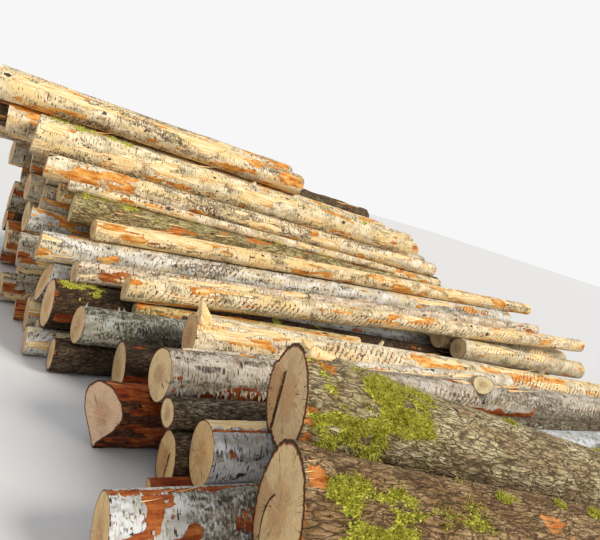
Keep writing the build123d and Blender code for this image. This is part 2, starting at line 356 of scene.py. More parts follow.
@dataclass(frozen=True)
class Dress:
    """How one stem looks."""

    bark: Bark = Bark.BIRCH
    tint: str = "#ffffff"           # multiplies the bark's colours; on some stems it also paints shade and sunlight
    wood: str = "#d9b58a"           # sapwood of the sawn ends
    peel: float = 0.35              # share of the bark that is scraped off in strips
    stain: float = 0.25             # share that shows inner bark
    fresh_and_sunlit: float = 0.9              # how fresh that is: from old and red-brown, 0, to orange, 1; low on the shaded stems and high on the sunlit ones, so it also paints shade and sunlight, and it sets the birch bark's cream wash
    grime: float = 0.3              # share that is weathered
    moss: float = 0.0
    knots: int = 9
    row: float = 0.040              # spacing of the skin's rows
    columns: int = 36
    rings: int = 7
    thickness: float = 0.004        # of the bark
    relief: float = 0.0025          # height of the bark's own relief
    patches: tuple[Patch, ...] = ()
    slits: float = 0.30             # share of the side that feed rollers slit
    step: float = 0.0               # how far a strip of the butt stands proud, left where the felled tree hung
    hinge: float = 0.0              # where that strip starts, in radii towards the high side
    strip_top: float = 0.42         # its top edge, in radii over the middle
    bow: float = 0.0                # how much the crack beside it curves
    pinch: float = 0.0              # how much the butt narrows downwards to a keel


def point_values(grain: np.ndarray, colour: str, share: np.ndarray | float,
                 **masks: np.ndarray) -> dict[str, np.ndarray]:
    """Collects what each point carries for the materials.

    Args:
        grain: Each point's place in the stem's grain, in metres.
        colour: The bark's tint or the wood's colour.
        share: How fresh the bark is, which also paints shade and sunlight on it, or how far out a point of a sawn end
            lies.
        masks: Numbers of those in CARRIED. The others are zero.

    Returns:
        The values by name.
    """
    grain = grain.reshape(-1, 3)
    size = len(grain)
    values = {"grain": grain, "tint": np.tile(linear(colour), (size, 1)), "share": np.broadcast_to(share, size)}
    return values | {name: np.broadcast_to(np.ravel(masks.get(name, 0.0)), size) for name in CARRIED}


# How a mesh holds one, three or four numbers for each point
FORMS = {1: ("FLOAT", "value"), 3: ("FLOAT_VECTOR", "vector"), 4: ("FLOAT_COLOR", "color")}


def link(name: str, data: bpy.types.ID) -> bpy.types.Object:
    """Makes an object of a mesh, a lamp or a camera, and links it to the scene."""
    thing = bpy.data.objects.new(name, data)
    bpy.context.scene.collection.objects.link(thing)
    return thing


@dataclass
class Skin:
    """Mesh of one or more stems, before it becomes an object."""

    points: list[np.ndarray] = field(default_factory=list)
    quads: list[np.ndarray] = field(default_factory=list)
    finishes: list[np.ndarray] = field(default_factory=list)
    values: dict[str, list[np.ndarray]] = field(default_factory=dict)
    count: int = 0

    def add(self, points: np.ndarray, quads: np.ndarray, finish: int, **values: np.ndarray) -> None:
        """Adds a sheet of quads.

        Args:
            points: Its points, in any rows.
            quads: Four corners each, counted from its own first point.
            finish: Number of its material.
            values: What each point carries for the materials.
        """
        points = points.reshape(-1, 3)
        self.points.append(points)
        self.quads.append(quads + self.count)
        self.finishes.append(np.full(len(quads), finish))
        for name, value in values.items():
            self.values.setdefault(name, []).append(value)
        self.count += len(points)

    def build(self, name: str, materials: list[bpy.types.Material], flat: set[int] = frozenset()) -> bpy.types.Object:
        """Makes the object.

        Args:
            name: The piece's name.
            materials: Its materials, by number.
            flat: Numbers of those that are shaded flat.

        Returns:
            The object, linked to the scene.
        """
        points = np.clip(np.vstack(self.points), *np.array(CAD_BOX))
        quads = np.vstack(self.quads)
        finishes = np.concatenate(self.finishes)
        mesh = bpy.data.meshes.new(name)
        mesh.vertices.add(len(points))
        mesh.vertices.foreach_set("co", points.astype(np.float32).ravel())
        mesh.loops.add(quads.size)
        mesh.loops.foreach_set("vertex_index", quads.astype(np.int32).ravel())
        mesh.polygons.add(len(quads))
        mesh.polygons.foreach_set("loop_start", np.arange(0, quads.size, 4, dtype=np.int32))
        mesh.polygons.foreach_set("material_index", finishes.astype(np.int32))
        mesh.polygons.foreach_set("use_smooth", ~np.isin(finishes, list(flat)))
        mesh.update(calc_edges=True)
        mesh.validate()
        for key, parts in self.values.items():
            value = np.concatenate(parts)
            kind, slot = FORMS[value[0].size]
            mesh.attributes.new(key, kind, "POINT").data.foreach_set(slot, value.astype(np.float32).ravel())
        for material in materials:
            mesh.materials.append(material)
        return link(name, mesh)


def grid_quads(rows: int, columns: int) -> np.ndarray:
    """Quads of a tube that closes on itself.

    Args:
        rows: Rows of points along it.
        columns: Points round it.

    Returns:
        Four corners for each quad, seen from outside.
    """
    row, column = np.meshgrid(np.arange(rows - 1), np.arange(columns), indexing="ij")
    after = (column + 1) % columns
    corners = [row * columns + column, row * columns + after, (row + 1) * columns + after, (row + 1) * columns + column]
    return np.stack(corners, axis=-1).reshape(-1, 4)[:, ::-1]


@dataclass
class LogSkin:
    """The skin of one stem: its side with bark relief, and its two sawn ends."""

    stem: Stem
    dress: Dress
    seed: int                       # what sets it apart from its neighbours
    fine_reach: float = 0.3         # metres behind the butt over which the rows stand closer
    fine_row: float = 0.016         # their spacing there
    first_knot: float = 0.25        # metres from the butt where knots start
    keel: float = 0.9               # metres over which a pinched butt grows round
    proud: float = 0.004            # metres that bark may stand off its solid
    mossy_proud: float = 0.006      # and mossy bark

    def __post_init__(self) -> None:
        """Lays out the rows and columns."""
        stem, dress = self.stem, self.dress
        self.random = np.random.default_rng(self.seed)
        length = stem.end - stem.start
        fine = np.arange(0.0, self.fine_reach, min(dress.row, self.fine_row))
        coarse = np.linspace(self.fine_reach, length, max(3, round((length - self.fine_reach) / dress.row)))
        self.along = np.concatenate([fine, coarse])
        self.angles = TURN * np.arange(dress.columns) / dress.columns
        self.radii = stem.reach(stem.start + self.along, self.angles)
        self.radius = float(self.radii.mean())
        self.middles = stem.middle(stem.start + self.along)
        self.masks = {mask: np.zeros_like(self.radii) for mask in Mask}
        self.arms = np.stack([np.cos(self.angles), np.sin(self.angles)], axis=-1)
        offset = self.random.uniform(0.0, 50.0)
        self.arc = np.mod(self.angles + TURN / 4.0, TURN) * self.radius * np.ones_like(self.radii)
        lengthwise = np.broadcast_to((self.along + offset)[:, None, None], self.radii.shape + (1,))
        self.grain = np.concatenate([lengthwise, self.radii[..., None] * self.arms], axis=-1)

    def noise(self, along: float, across: float, number: int, octaves: int) -> np.ndarray:
        """Random relief with so many features per metre along the stem and across it."""
        return smooth_noise(self.grain * np.array([along, across, across]), self.seed + number, octaves)

    def paint(self) -> None:
        """Fills the masks: scrapes in strips along the stem, rows of slits, moss, and the patches."""
        dress, masks = self.dress, self.masks
        shares = ((Mask.PEEL, dress.peel, 3.0, 15.0), (Mask.STAIN, dress.stain, 4.2, 17.0),
                  (Mask.GRIME, dress.grime, 1.6, 12.0))
        for number, (mask, share, along, across) in enumerate(shares):
            if share > 0.0:
                masks[mask] += ease(self.noise(along, across, 5 * number, 4), 0.67 - 0.36 * share, 0.80 - 0.36 * share)
        off = apart(self.angles, self.random.uniform(0.7, 2.9))
        if dress.slits:
            rolled = ease(self.noise(1.1, 3.0, 13, 2), 0.72 - 0.5 * dress.slits, 0.80 - 0.5 * dress.slits)
            masks[Mask.SLIT] += 0.8 * rolled * ease(off, 0.55, 0.25)
        if dress.moss:
            tufts = self.noise(9.0, 9.0, 9, 3) * (0.6 + 0.7 * np.clip(self.arms[:, 1] * 0.7 + 0.3, 0.0, 1.0))
            masks[Mask.MOSS] += ease(tufts, 0.95 - 0.6 * dress.moss, 1.05 - 0.6 * dress.moss)
        wander = 0.20 * (self.noise(9.0, 14.0, 17, 4) - 0.5)
        for patch in dress.patches:
            mask = masks[patch.mask]
            cover = patch.cover(self.along, self.angles, self.radius, wander)
            if patch.strength < 0.0:
                mask += cover
            else:
                np.maximum(mask, cover, out=mask)
        masks[Mask.MOSS] *= np.clip((self.noise(13.0, 22.0, 19, 3) - 0.20) * 2.8, 0.0, 1.0)
        for mask in masks.values():
            np.clip(mask, 0.0, 1.0, out=mask)

    def knots(self) -> np.ndarray:
        """Swells where branches were cut off, and their scars.

        Returns:
            How far the skin rises at each place.
        """
        rise = np.zeros_like(self.radii)
        for _ in range(self.dress.knots):
            place = self.random.uniform(self.first_knot, self.along[-1])
            off = apart(self.angles, self.random.uniform(0.0, TURN)) * self.radius
            size = self.random.uniform(0.016, 0.034)
            gap = np.hypot((self.along[:, None] - place) / 1.5, off)
            rise += 0.28 * size * np.exp(-(gap / size) ** 2)
            self.masks[Mask.KNOT] = np.maximum(self.masks[Mask.KNOT], np.exp(-(gap / (0.8 * size)) ** 2))
        return rise

    def relief(self) -> np.ndarray:
        """How far the bark stands off the solid's surface.

        Returns:
            Rows of heights, mostly a little below it.
        """
        dress = self.dress
        waves = self.noise(2.0, 7.0, 21, 2) - 0.5
        height = waves * 0.03 * self.radius - 0.012 * self.radius + self.knots()
        if dress.bark in (Bark.ROUGH, Bark.MOSSY):
            bent = self.grain * np.array([6.0, 26.0, 26.0]) + 1.1 * self.noise(12.0, 20.0, 31, 3)[..., None]
            self.crack = 1.0 - ease(plate_edges(bent, self.seed + 41), 0.0, 0.22)
            grains = self.noise(26.0, 60.0, 51, 3) - 0.5
            height += 0.009 * self.radius + dress.relief * (0.1 - self.crack * 0.7 + grains * 0.35)
        else:
            self.crack = np.zeros_like(height)
            height += dress.relief * (self.noise(60.0, 16.0, 61, 2) - 0.6)
        open_wood = ease(np.maximum(self.masks[Mask.PEEL], self.masks[Mask.STAIN]), 0.35, 0.65)
        height = height * (1.0 - 0.5 * open_wood) - dress.thickness * open_wood
        if dress.bark is Bark.MOSSY:
            height += 0.010 * ease(self.masks[Mask.MOSS], 0.3, 0.7) * self.noise(45.0, 45.0, 71, 2)
        return np.minimum(height, self.mossy_proud if dress.bark is Bark.MOSSY else self.proud)

    def place(self) -> np.ndarray:
        """Puts the side's points in the frame, with the first row on the saw cut.

        Returns:
            Rows of points.
        """
        out = self.radii + self.relief()
        y = self.middles[:, :1] + out * self.arms[:, 0]
        z = self.middles[:, 1:] + out * self.arms[:, 1]
        if self.dress.pinch:
            low = np.clip((self.middles[:, 1:] + 0.5 * self.radius - z) / (1.5 * self.radius), 0.0, 1.0)
            low = low * self.dress.pinch * np.clip(1.0 - self.along / self.keel, 0.0, 1.0)[:, None]
            y += (self.middles[:, :1] + 0.04 * self.radius - y) * low
        x = np.repeat((self.stem.start + self.along)[:, None], len(self.angles), axis=1)
        cut = self.cut(y[:1], z[:1]) - self.stem.start
        fade = np.clip(1.0 - self.along / (3.0 * np.abs(cut).max() + 0.05), 0.0, 1.0)[:, None]
        return np.stack([x + cut * fade, y, z], axis=-1)

    def cut(self, y: np.ndarray, z: np.ndarray) -> np.ndarray:
        """Where the butt was sawn, with the strip that stands proud beside a crack.

        Args:
            y: Places across the heap.
            z: Heights.

        Returns:
            The cut's X at each.
        """
        x = self.stem.saw_plane(y, z)
        if not self.dress.step:
            return x
        side, top = self.strip_bounds(y, z)
        return x - self.dress.step * ease(side, 0.0, 0.03) * ease(top, 0.0, 0.03)

    def strip_bounds(self, y: np.ndarray, z: np.ndarray) -> tuple[np.ndarray, np.ndarray]:
        """How far places on the butt lie inside the proud strip.

        Args:
            y: Places across the heap.
            z: Heights.

        Returns:
            Radii past its side and under its top, less than zero outside it.
        """
        ragged = smooth_noise(np.stack([y * 0.0, y * 30.0, z * 30.0], axis=-1), self.seed, 3) - 0.5
        rise = (z - self.stem.butt[2]) / self.radius
        side = (y - self.stem.butt[1]) / self.radius + 0.04 * ragged - self.dress.hinge
        return side + self.dress.bow * (rise + 0.35) ** 2, self.dress.strip_top - rise + 0.04 * ragged

    def end_sheet(self, rim: np.ndarray, middle: np.ndarray, butt: bool) -> tuple[np.ndarray, np.ndarray]:
        """Points and radial shares of a sawn end.

        Args:
            rim: Its outer points.
            middle: Its centre.
            butt: Whether it is the butt, whose cut may be stepped.

        Returns:
            Rings of points from the rim inwards, and each ring's share of the radius.
        """
        first = max(0.9, 1.0 - 1.2 * self.dress.thickness / self.radius)
        shares = np.concatenate([[1.0, first], np.linspace(first, 0.0, self.dress.rings)[1:]])
        shares[-1] = 0.004
        points = middle + shares[:, None, None] * (rim - middle)
        if butt and self.dress.step:
            points[..., 0] = self.cut(points[..., 1], points[..., 2])
        return points, shares

    def add_to(self, skin: Skin, finish: int, sawn: int) -> None:
        """Adds the stem to a piece's mesh.

        Args:
            skin: The mesh.
            finish: Number of the side's material.
            sawn: Number of the sawn ends' material.
        """
        self.paint()
        self.points = self.place()
        stem, dress = self.stem, self.dress
        rows, columns = self.radii.shape
        masks = {mask.value: self.masks[mask] for mask in Mask}
        skin.add(self.points, grid_quads(rows, columns), finish,
                 **point_values(self.grain, dress.tint, dress.fresh_and_sunlit, crack=self.crack, arc=self.arc, **masks))
        for row, butt in ((0, True), (-1, False)):
            middle = self.points[row].mean(axis=0)
            if butt:
                middle = np.array([stem.saw_plane(*self.middles[0]), *self.middles[0]])
            sheet, shares = self.end_sheet(self.points[row], middle, butt)
            arms = sheet - middle
            arms[..., 0] = self.grain[row, 0, 0]
            rim = (1.0 - shares) * self.radii[row].mean() / (1.3 * dress.thickness)
            masks = {"rim": np.repeat(rim, columns)}
            if butt and dress.step:
                side, top = self.strip_bounds(sheet[..., 1], sheet[..., 2])
                width = max(0.045, 0.8 / dress.rings)
                masks["stain"] = ease(side, 0.0, 0.05) * ease(top, 0.0, 0.05)
                masks["crack"] = np.maximum(np.exp(-(side / width) ** 2) * (top > -0.04),
                                            np.exp(-(top / 0.03) ** 2) * (side > 0.0) * 0.6)
            quads = grid_quads(len(shares), columns)
            skin.add(sheet, quads[:, ::-1] if butt else quads, sawn,
                     **point_values(arms, dress.wood, np.repeat(shares, columns), **masks))


class Kind(Enum):
    """Nodes that the finishes are made of: type, settings, inputs in the order given to add, and the output read."""

    NUMBER = ("Attribute", {}, (), "Fac")
    PLACE = ("Attribute", {}, (), "Vector")
    COLOUR = ("Attribute", {}, (), "Color")
    NOISE = ("TexNoise", {}, ("Vector", "Scale", "Detail", "Distortion"), "Fac")
    SWIRL = ("TexNoise", {}, ("Vector", "Scale", "Detail"), "Color")
    CELLS = ("TexVoronoi", {"feature": "DISTANCE_TO_EDGE"}, ("Vector", "Scale"), 0)
    ALONG = ("SeparateXYZ", {}, (0,), 0)
    STRETCH = ("VectorMath", {"operation": "MULTIPLY"}, (0, 1), 0)
    BEND = ("VectorMath", {"operation": "MULTIPLY_ADD"}, (0, 1, 2), 0)
    OUT = ("VectorMath", {"operation": "LENGTH"}, (0,), "Value")
    WAY = ("VectorMath", {"operation": "NORMALIZE"}, (0,), 0)
    ADD = ("Math", {"operation": "MULTIPLY_ADD"}, (0, 1, 2), 0)
    TIMES = ("Math", {"operation": "MULTIPLY"}, (0, 1), 0)
    LESS = ("Math", {"operation": "SUBTRACT"}, (0, 1), 0)
    LARGER = ("Math", {"operation": "MAXIMUM"}, (0, 1), 0)
    SIZE = ("Math", {"operation": "ABSOLUTE"}, (0,), 0)
    SINE = ("Math", {"operation": "SINE"}, (0,), 0)
    FOLD = ("Math", {"operation": "PINGPONG"}, (0, 1), 0)
    EDGE = ("MapRange", {"interpolation_type": "SMOOTHSTEP"}, (0, 1, 2), 0)
    RAMP = ("ValToRGB", {}, (0,), 0)
    OVER = ("Mix", {"data_type": "RGBA"}, (0, 6, 7), 2)
    TINT = ("Mix", {"data_type": "RGBA", "blend_type": "MULTIPLY"}, (0, 6, 7), 2)
    BUMP = ("Bump", {}, ("Height", "Strength", "Distance"), 0)
    SEEN = ("LightPath", {}, (), "Is Camera Ray")
    MIRRORED = ("LightPath", {}, (), "Is Glossy Ray")
    GLOW = ("Background", {}, ("Color", "Strength"), 0)
    EITHER = ("MixShader", {}, (0, 1, 2), 0)


READ = {"grain": Kind.PLACE, "tint": Kind.COLOUR}       # what points carry that isn't a single number
Socket = bpy.types.NodeSocket
Source = Any                                            # a socket, a value, a hex colour or what the points carry
Stops = tuple[tuple[float, str], ...]                   # places and colours of a ramp


def per_metre(sizes: tuple[float, float]) -> tuple[float, float, float]:
    """How many features of a size, in millimetres along a stem and across it, a metre holds along the grain's axes."""
    along, across = (1000.0 / size for size in sizes)
    return along, across, across


@dataclass
class Nodes:
    """The nodes of a material or of the world."""

    tree: bpy.types.NodeTree

    def feed(self, node: bpy.types.Node, inputs: dict[int | str, Source]) -> None:
        """Sets and links a node's inputs.

        Args:
            node: The node.
            inputs: What goes into each, by name or number.
        """
        for key, value in inputs.items():
            if isinstance(value, str) and value[0] == "#":
                value = linear(value)
            elif isinstance(value, str):
                value = self.add(READ.get(value, Kind.NUMBER), attribute_name=value)
            if isinstance(value, Socket):
                self.tree.links.new(value, node.inputs[key])
            else:
                node.inputs[key].default_value = value

    def add(self, kind: Kind, *inputs: Source, stops: Stops = (), **settings: Any) -> Socket:
        """Adds a node with its settings and links.

        Args:
            kind: Which node.
            inputs: What goes into its inputs, in their order.
            stops: Places and colours of a ramp.
            settings: Its own properties.

        Returns:
            Its output.
        """
        name, fixed, keys, output = kind.value
        node = self.tree.nodes.new("ShaderNode" + name)
        for setting, value in {**fixed, **settings}.items():
            setattr(node, setting, value)
        if stops:
            ramp = node.color_ramp
            while len(ramp.elements) < len(stops):
                ramp.elements.new(0.5)
            for element, (position, colour) in zip(ramp.elements, stops):
                element.position = position
                element.color = linear(colour)
        self.feed(node, dict(zip(keys, inputs)))
        return node.outputs[output]

    def relief(self, sizes: tuple[float, float], detail: float = 3.0, grain: Source = "grain",
               warp: float = 0.0) -> Socket:
        """Noise whose features have a real size.

        Args:
            sizes: Millimetres along the stem and across it.
            detail: How many finer layers it has.
            grain: Where to read it.
            warp: How much it swirls.

        Returns:
            The noise's height.
        """
        return self.add(Kind.NOISE, self.add(Kind.STRETCH, grain, per_metre(sizes)), 1.0, detail, warp)

    def patches(self, sizes: tuple[float, float], detail: float, low: float, high: float) -> Socket:
        """Patches of a real size: a mask that rises where such a relief rises from low to high."""
        return self.add(Kind.EDGE, self.relief(sizes, detail), low, high)

    def total(self, *terms: tuple[Source, float]) -> Socket:
        """Adds up weighted heights.

        Args:
            terms: Pairs of a height and its weight.

        Returns:
            Their sum.
        """
        result: Source = 0.0
        for height, weight in terms:
            result = self.add(Kind.ADD, height, weight, result)
        return result

    def mask(self, low: float, high: float, *terms: tuple[Source, float]) -> Socket:
        """A mask that rises where the sum of weighted heights rises from low to high."""
        return self.add(Kind.EDGE, self.total(*terms), low, high)

    def layered(self, colour: Source, *layers: tuple[Source, Source]) -> Socket:
        """Lays colours over one another.

        Args:
            colour: The lowest one.
            layers: For each of the others, where it covers and the colour.

        Returns:
            The colour that shows.
        """
        for cover, top in layers:
            colour = self.add(Kind.OVER, cover, colour, top)
        return colour


MOSS_GREENS = ((0.28, "#59581a"), (0.42, "#96952a"), (0.55, "#c6c343"), (0.70, "#ebe484"))
WEATHERED = ((0.34, "#50463a"), (0.48, "#7d715e"), (0.60, "#a2967e"), (0.70, "#c2b69c"))
# Old red-brown inner bark, which on the shaded stems is also painted shade
OLD_AND_SHADED_BAST = ((0.32, "#4d1c0c"), (0.46, "#8a3814"), (0.58, "#ab5522"), (0.70, "#c98347"))
TOOTH, TOOTH_ROW = 0.024, 0.040     # metres between the teeth of a feed roller, and between their rows
YEAR_RING = 0.008                   # metres: 2 to 4 mm in truth, drawn wider so that they show at this distance


@dataclass(frozen=True)
class Finish:
    """What the finishes have in common."""

    name: str = "finish"
    roughness: float = 0.8
    specular: float = 0.25
    bump: float = 0.7                           # share of the relief that shows
    depth: float = 0.003                        # metres that a relief of one stands out

    def make(self) -> bpy.types.Material:
        """Makes the material.

        Returns:
            The material.
        """
        material = bpy.data.materials.new(self.name)
        material.use_nodes = True
        nodes = Nodes(material.node_tree)
        colour, height = self.pattern(nodes)
        inputs = {"Base Color": colour, "Roughness": self.roughness, "Specular IOR Level": self.specular}
        if self.bump:
            inputs["Normal"] = nodes.add(Kind.BUMP, height, self.bump, self.depth)
        nodes.feed(nodes.tree.nodes["Principled BSDF"], inputs)
        return material

    def pattern(self, nodes: Nodes) -> tuple[Socket, Socket]:
        """Draws the finish.

        Args:
            nodes: The material's nodes.

        Returns:
            Its colour and its height.
        """
        raise NotImplementedError


@dataclass(frozen=True)
class Bared(Finish):
    """A finish that opens to inner bark and wood, with knots, slits and moss on it."""

    tear: tuple[float, float] = (60.0, 12.0)    # millimetres along and round the stem in which it tears
    inner: Stops = ()                           # the inner bark's colours
    wood: Stops = ()                            # those of the wood under it

    def opened(self, nodes: Nodes, bark: Source, height: Source) -> tuple[Socket, Socket]:
        """Opens whole bark to inner bark and wood, and lays knots, slits and moss on it.

        Args:
            nodes: The material's nodes.
            bark: The whole bark's colour.
            height: Its height, of about one.

        Returns:
            The colour and the height.
        """
        # Wood fibres are finer than a millimetre in truth, drawn 7 mm wide so that they show at this distance
        ragged, streaks = nodes.relief(self.tear, 4.0), nodes.relief((150.0, 7.0))
        # Bark comes off down to the wood, with inner bark left as a lip round it, or only down to the inner bark
        peel = nodes.total(("peel", 1.0), (ragged, 0.9))
        peeled = nodes.add(Kind.EDGE, peel, 0.99, 1.05)
        stained = nodes.mask(0.93, 0.99, ("stain", 1.0), (ragged, 0.9))
        sunk = nodes.add(Kind.LARGER, stained, nodes.add(Kind.EDGE, peel, 0.91, 0.98))
        blotches = nodes.total((nodes.relief((80.0, 30.0), 6.0), 0.75), (streaks, 0.25))
        # Inner bark runs from old red-brown to fresh orange with each stem's freshness, which also paints the shaded
        # stems red-brown and the sunlit ones orange
        old, fresh_and_sunlit = (nodes.add(Kind.RAMP, blotches, stops=stops) for stops in (OLD_AND_SHADED_BAST, self.inner))
        # Knots are black, and weathered bark is crackled finely and clouded in greys and browns; on the wounded birch
        # both masks also paint the shade under the mossy logs
        knot = nodes.mask(0.72, 0.92, ("knot", 1.0), (ragged, 0.5))
        weathered = nodes.mask(1.34, 1.68, ("grime", 0.66), (nodes.relief((14.0, 22.0), 6.0), 1.8))
        grime = nodes.add(Kind.RAMP, nodes.relief((60.0, 26.0), 6.0), stops=WEATHERED)
        colour = nodes.layered(bark, (weathered, nodes.add(Kind.TINT, 1.0, grime, "tint")), (knot, "#453c33"),
                               (sunk, nodes.add(Kind.OVER, "share", old, fresh_and_sunlit)),
                               (peeled, nodes.add(Kind.RAMP, streaks, stops=self.wood)))
        colour, cut = self.slit(nodes, colour)
        level = nodes.total((height, 1.0), (sunk, -0.8), (peeled, -0.5), (streaks, 0.35), (knot, 0.5), (cut, -0.7))
        # Moss grows over all of it in tufts as wide as a thumbnail
        tufts = nodes.relief((16.0, 16.0), 5.0)
        moss = nodes.mask(0.92, 1.08, ("moss", 1.0), (tufts, 1.1))
        greens = nodes.add(Kind.RAMP, nodes.relief((8.0, 8.0), 5.0), stops=MOSS_GREENS)
        return nodes.layered(colour, (moss, greens)), nodes.total((level, 1.0), (moss, 1.0), (tufts, 0.8))

    def slit(self, nodes: Nodes, colour: Source) -> tuple[Socket, Socket]:
        """Cuts the rows of slanted slits that feed rollers press into bark and wood, each with its pale lip.

        Args:
            nodes: The material's nodes.
            colour: The colour before.

        Returns:
            The colour with the slits, and their mask.
        """
        along, wander = nodes.add(Kind.ALONG, "grain"), nodes.relief((40.0, 40.0), 4.0)
        across = nodes.total((along, 1.0 / TOOTH), ("arc", 0.75 / TOOTH), (wander, 2.6))
        rows = nodes.total(("arc", 1.0 / TOOTH_ROW), (along, -0.25 / TOOTH_ROW), (wander, 2.0))
        tooth, row = nodes.add(Kind.FOLD, across, 1.0), nodes.add(Kind.FOLD, rows, 0.5)
        pressed = nodes.mask(1.05, 1.35, ("slit", 0.8), (wander, 1.3))
        pressed = nodes.add(Kind.TIMES, pressed, nodes.add(Kind.EDGE, row, 0.08, 0.16))
        dark, pale = (nodes.add(Kind.TIMES, nodes.add(Kind.EDGE, tooth, *span), pressed)
                      for span in ((0.66, 0.86), (0.40, 0.12)))
        return nodes.layered(colour, (nodes.add(Kind.TIMES, pale, 0.4), "#f7e6bd"), (dark, "#7a4423")), dark


@dataclass(frozen=True)
class BirchBark(Bared):
    """Birch paper bark: the white, dark-dashed skin that the eye takes for birch, torn open to orange inner bark."""

    name: str = "birch_paper_bark"
    roughness: float = 0.72
    bump: float = 1.0
    depth: float = 0.004
    tear: tuple[float, float] = (13.0, 55.0)
    inner: Stops = ((0.32, "#a6541c"), (0.44, "#d08232"), (0.54, "#e8a44a"), (0.68, "#f8d693"))
    wood: Stops = ((0.28, "#c98643"), (0.38, "#eabb74"), (0.50, "#f8dda2"), (0.64, "#fdefca"))

    def pattern(self, nodes: Nodes) -> tuple[Socket, Socket]:
        """Draws the paper with its layers, dashes and blotches.

        Args:
            nodes: The material's nodes.

        Returns:
            Its colour and its height.
        """
        clouds = nodes.relief((120.0, 60.0), 5.0)
        paper = nodes.add(Kind.RAMP, clouds, stops=((0.34, "#c3bbab"), (0.46, "#e4dccb"), (0.58, "#fdf8ec")))
        # Paper layers peel off round the stem: bands a few millimetres wide and a hand long
        bands = nodes.relief((9.0, 80.0), 4.0)
        layers = nodes.add(Kind.EDGE, bands, 0.57, 0.66)
        rust = nodes.patches((22.0, 34.0), 5.0, 0.585, 0.64)
        rust = nodes.add(Kind.TIMES, rust, nodes.patches((260.0, 90.0), 3.0, 0.42, 0.60))
        # Sap and rain leave it cream and ochre in long clouds, as strong as the stem is fresh: partly painted sunlight,
        # strong on the sunlit stems and faint on the shaded ones, which stay cool
        cream_wash_and_sunlight = nodes.add(Kind.TIMES, nodes.patches((380.0, 90.0), 5.0, 0.46, 0.66), "share")
        # Old bark darkens in blotches that are finely crackled
        crackle = nodes.patches((11.0, 26.0), 4.0, 0.36, 0.58)
        grime = nodes.add(Kind.TIMES, nodes.patches((170.0, 75.0), 6.0, 0.52, 0.66), crackle)
        # Lenticels are 2 to 4 mm high in truth, drawn at 8 mm so that they show at this distance
        dashes = nodes.patches((8.0, 48.0), 2.0, 0.61, 0.66)
        black = nodes.patches((90.0, 45.0), 5.0, 0.665, 0.70)
        paper = nodes.layered(paper, (layers, "#cdb795"), (rust, "#a8683c"), (cream_wash_and_sunlight, "#f2deb2"), (grime, "#7d7867"),
                              (dashes, "#4a3c33"), (black, "#3a322c"))
        height = nodes.total((bands, 0.7), (dashes, -0.35), (black, 0.5), (crackle, 0.35), (rust, -0.3))
        return self.opened(nodes, nodes.add(Kind.TINT, 1.0, paper, "tint"), height)


@dataclass(frozen=True)
class FurrowedBark(Bared):
    """Furrowed bark of alder and old birch: dark cracks between grey-brown plates, with lichen."""

    name: str = "furrowed_bark"
    roughness: float = 0.9
    bump: float = 0.9
    depth: float = 0.007
    deep: str = "#33271e"
    brown: str = "#6e5a48"
    grey: str = "#a0917c"
    lichen: str = "#b3b096"
    lichen_share: float = 0.52                          # height of a cloud's relief over which lichen grows
    cloud: tuple[float, float] = (150.0, 70.0)          # millimetres along and across a cloud of lichen
    plates: tuple[float, float] = (60.0, 17.0)          # and a plate of bark
    open: float = 0.30                                  # share of a crack's depth from which it looks dark
    inner: Stops = ((0.30, "#4f1f10"), (0.42, "#8a3b17"), (0.54, "#bb682a"), (0.70, "#d99a55"))
    wood: Stops = ((0.30, "#8e5627"), (0.42, "#bd8145"), (0.54, "#d8ac70"), (0.70, "#e8cf9e"))

    def pattern(self, nodes: Nodes) -> tuple[Socket, Socket]:
        """Draws scaly plates with cracks between them, lichen and a green film.

        Args:
            nodes: The material's nodes.

        Returns:
            Its colour and its height.
        """
        # Swirls of about 45 mm bend the plates, their scales and the lichen alike
        swirl = nodes.add(Kind.SWIRL, "grain", 22.0, 4.0)
        bent = nodes.add(Kind.BEND, swirl, (0.05, 0.022, 0.022), "grain")
        cells = nodes.add(Kind.CELLS, nodes.add(Kind.STRETCH, bent, per_metre(self.plates)), 1.0)
        crack = nodes.add(Kind.LARGER, nodes.add(Kind.EDGE, cells, 0.11, 0.0), "crack")
        scales = nodes.relief((40.0, 9.0), 9.0, bent, 0.6)
        bark = nodes.add(Kind.RAMP, scales, stops=((0.32, "#46382c"), (0.46, self.brown), (0.60, self.grey)))
        clouds = nodes.patches(self.cloud, 6.0, self.lichen_share, self.lichen_share + 0.10)
        crust = nodes.add(Kind.EDGE, nodes.relief((46.0, 12.0), 9.0, bent, 1.6), 0.46, 0.56)
        crust = nodes.add(Kind.TIMES, clouds, crust)
        film = nodes.add(Kind.TIMES, nodes.patches((120.0, 120.0), 5.0, 0.50, 0.66), 0.45)
        bark = nodes.layered(bark, (crust, self.lichen), (film, "#6f6d3c"),
                             (nodes.add(Kind.EDGE, crack, self.open, 1.15), self.deep))
        height = nodes.total((crack, -0.9), (scales, 0.9), (crust, 0.2))
        return self.opened(nodes, nodes.add(Kind.TINT, 1.0, bark, "tint"), height)


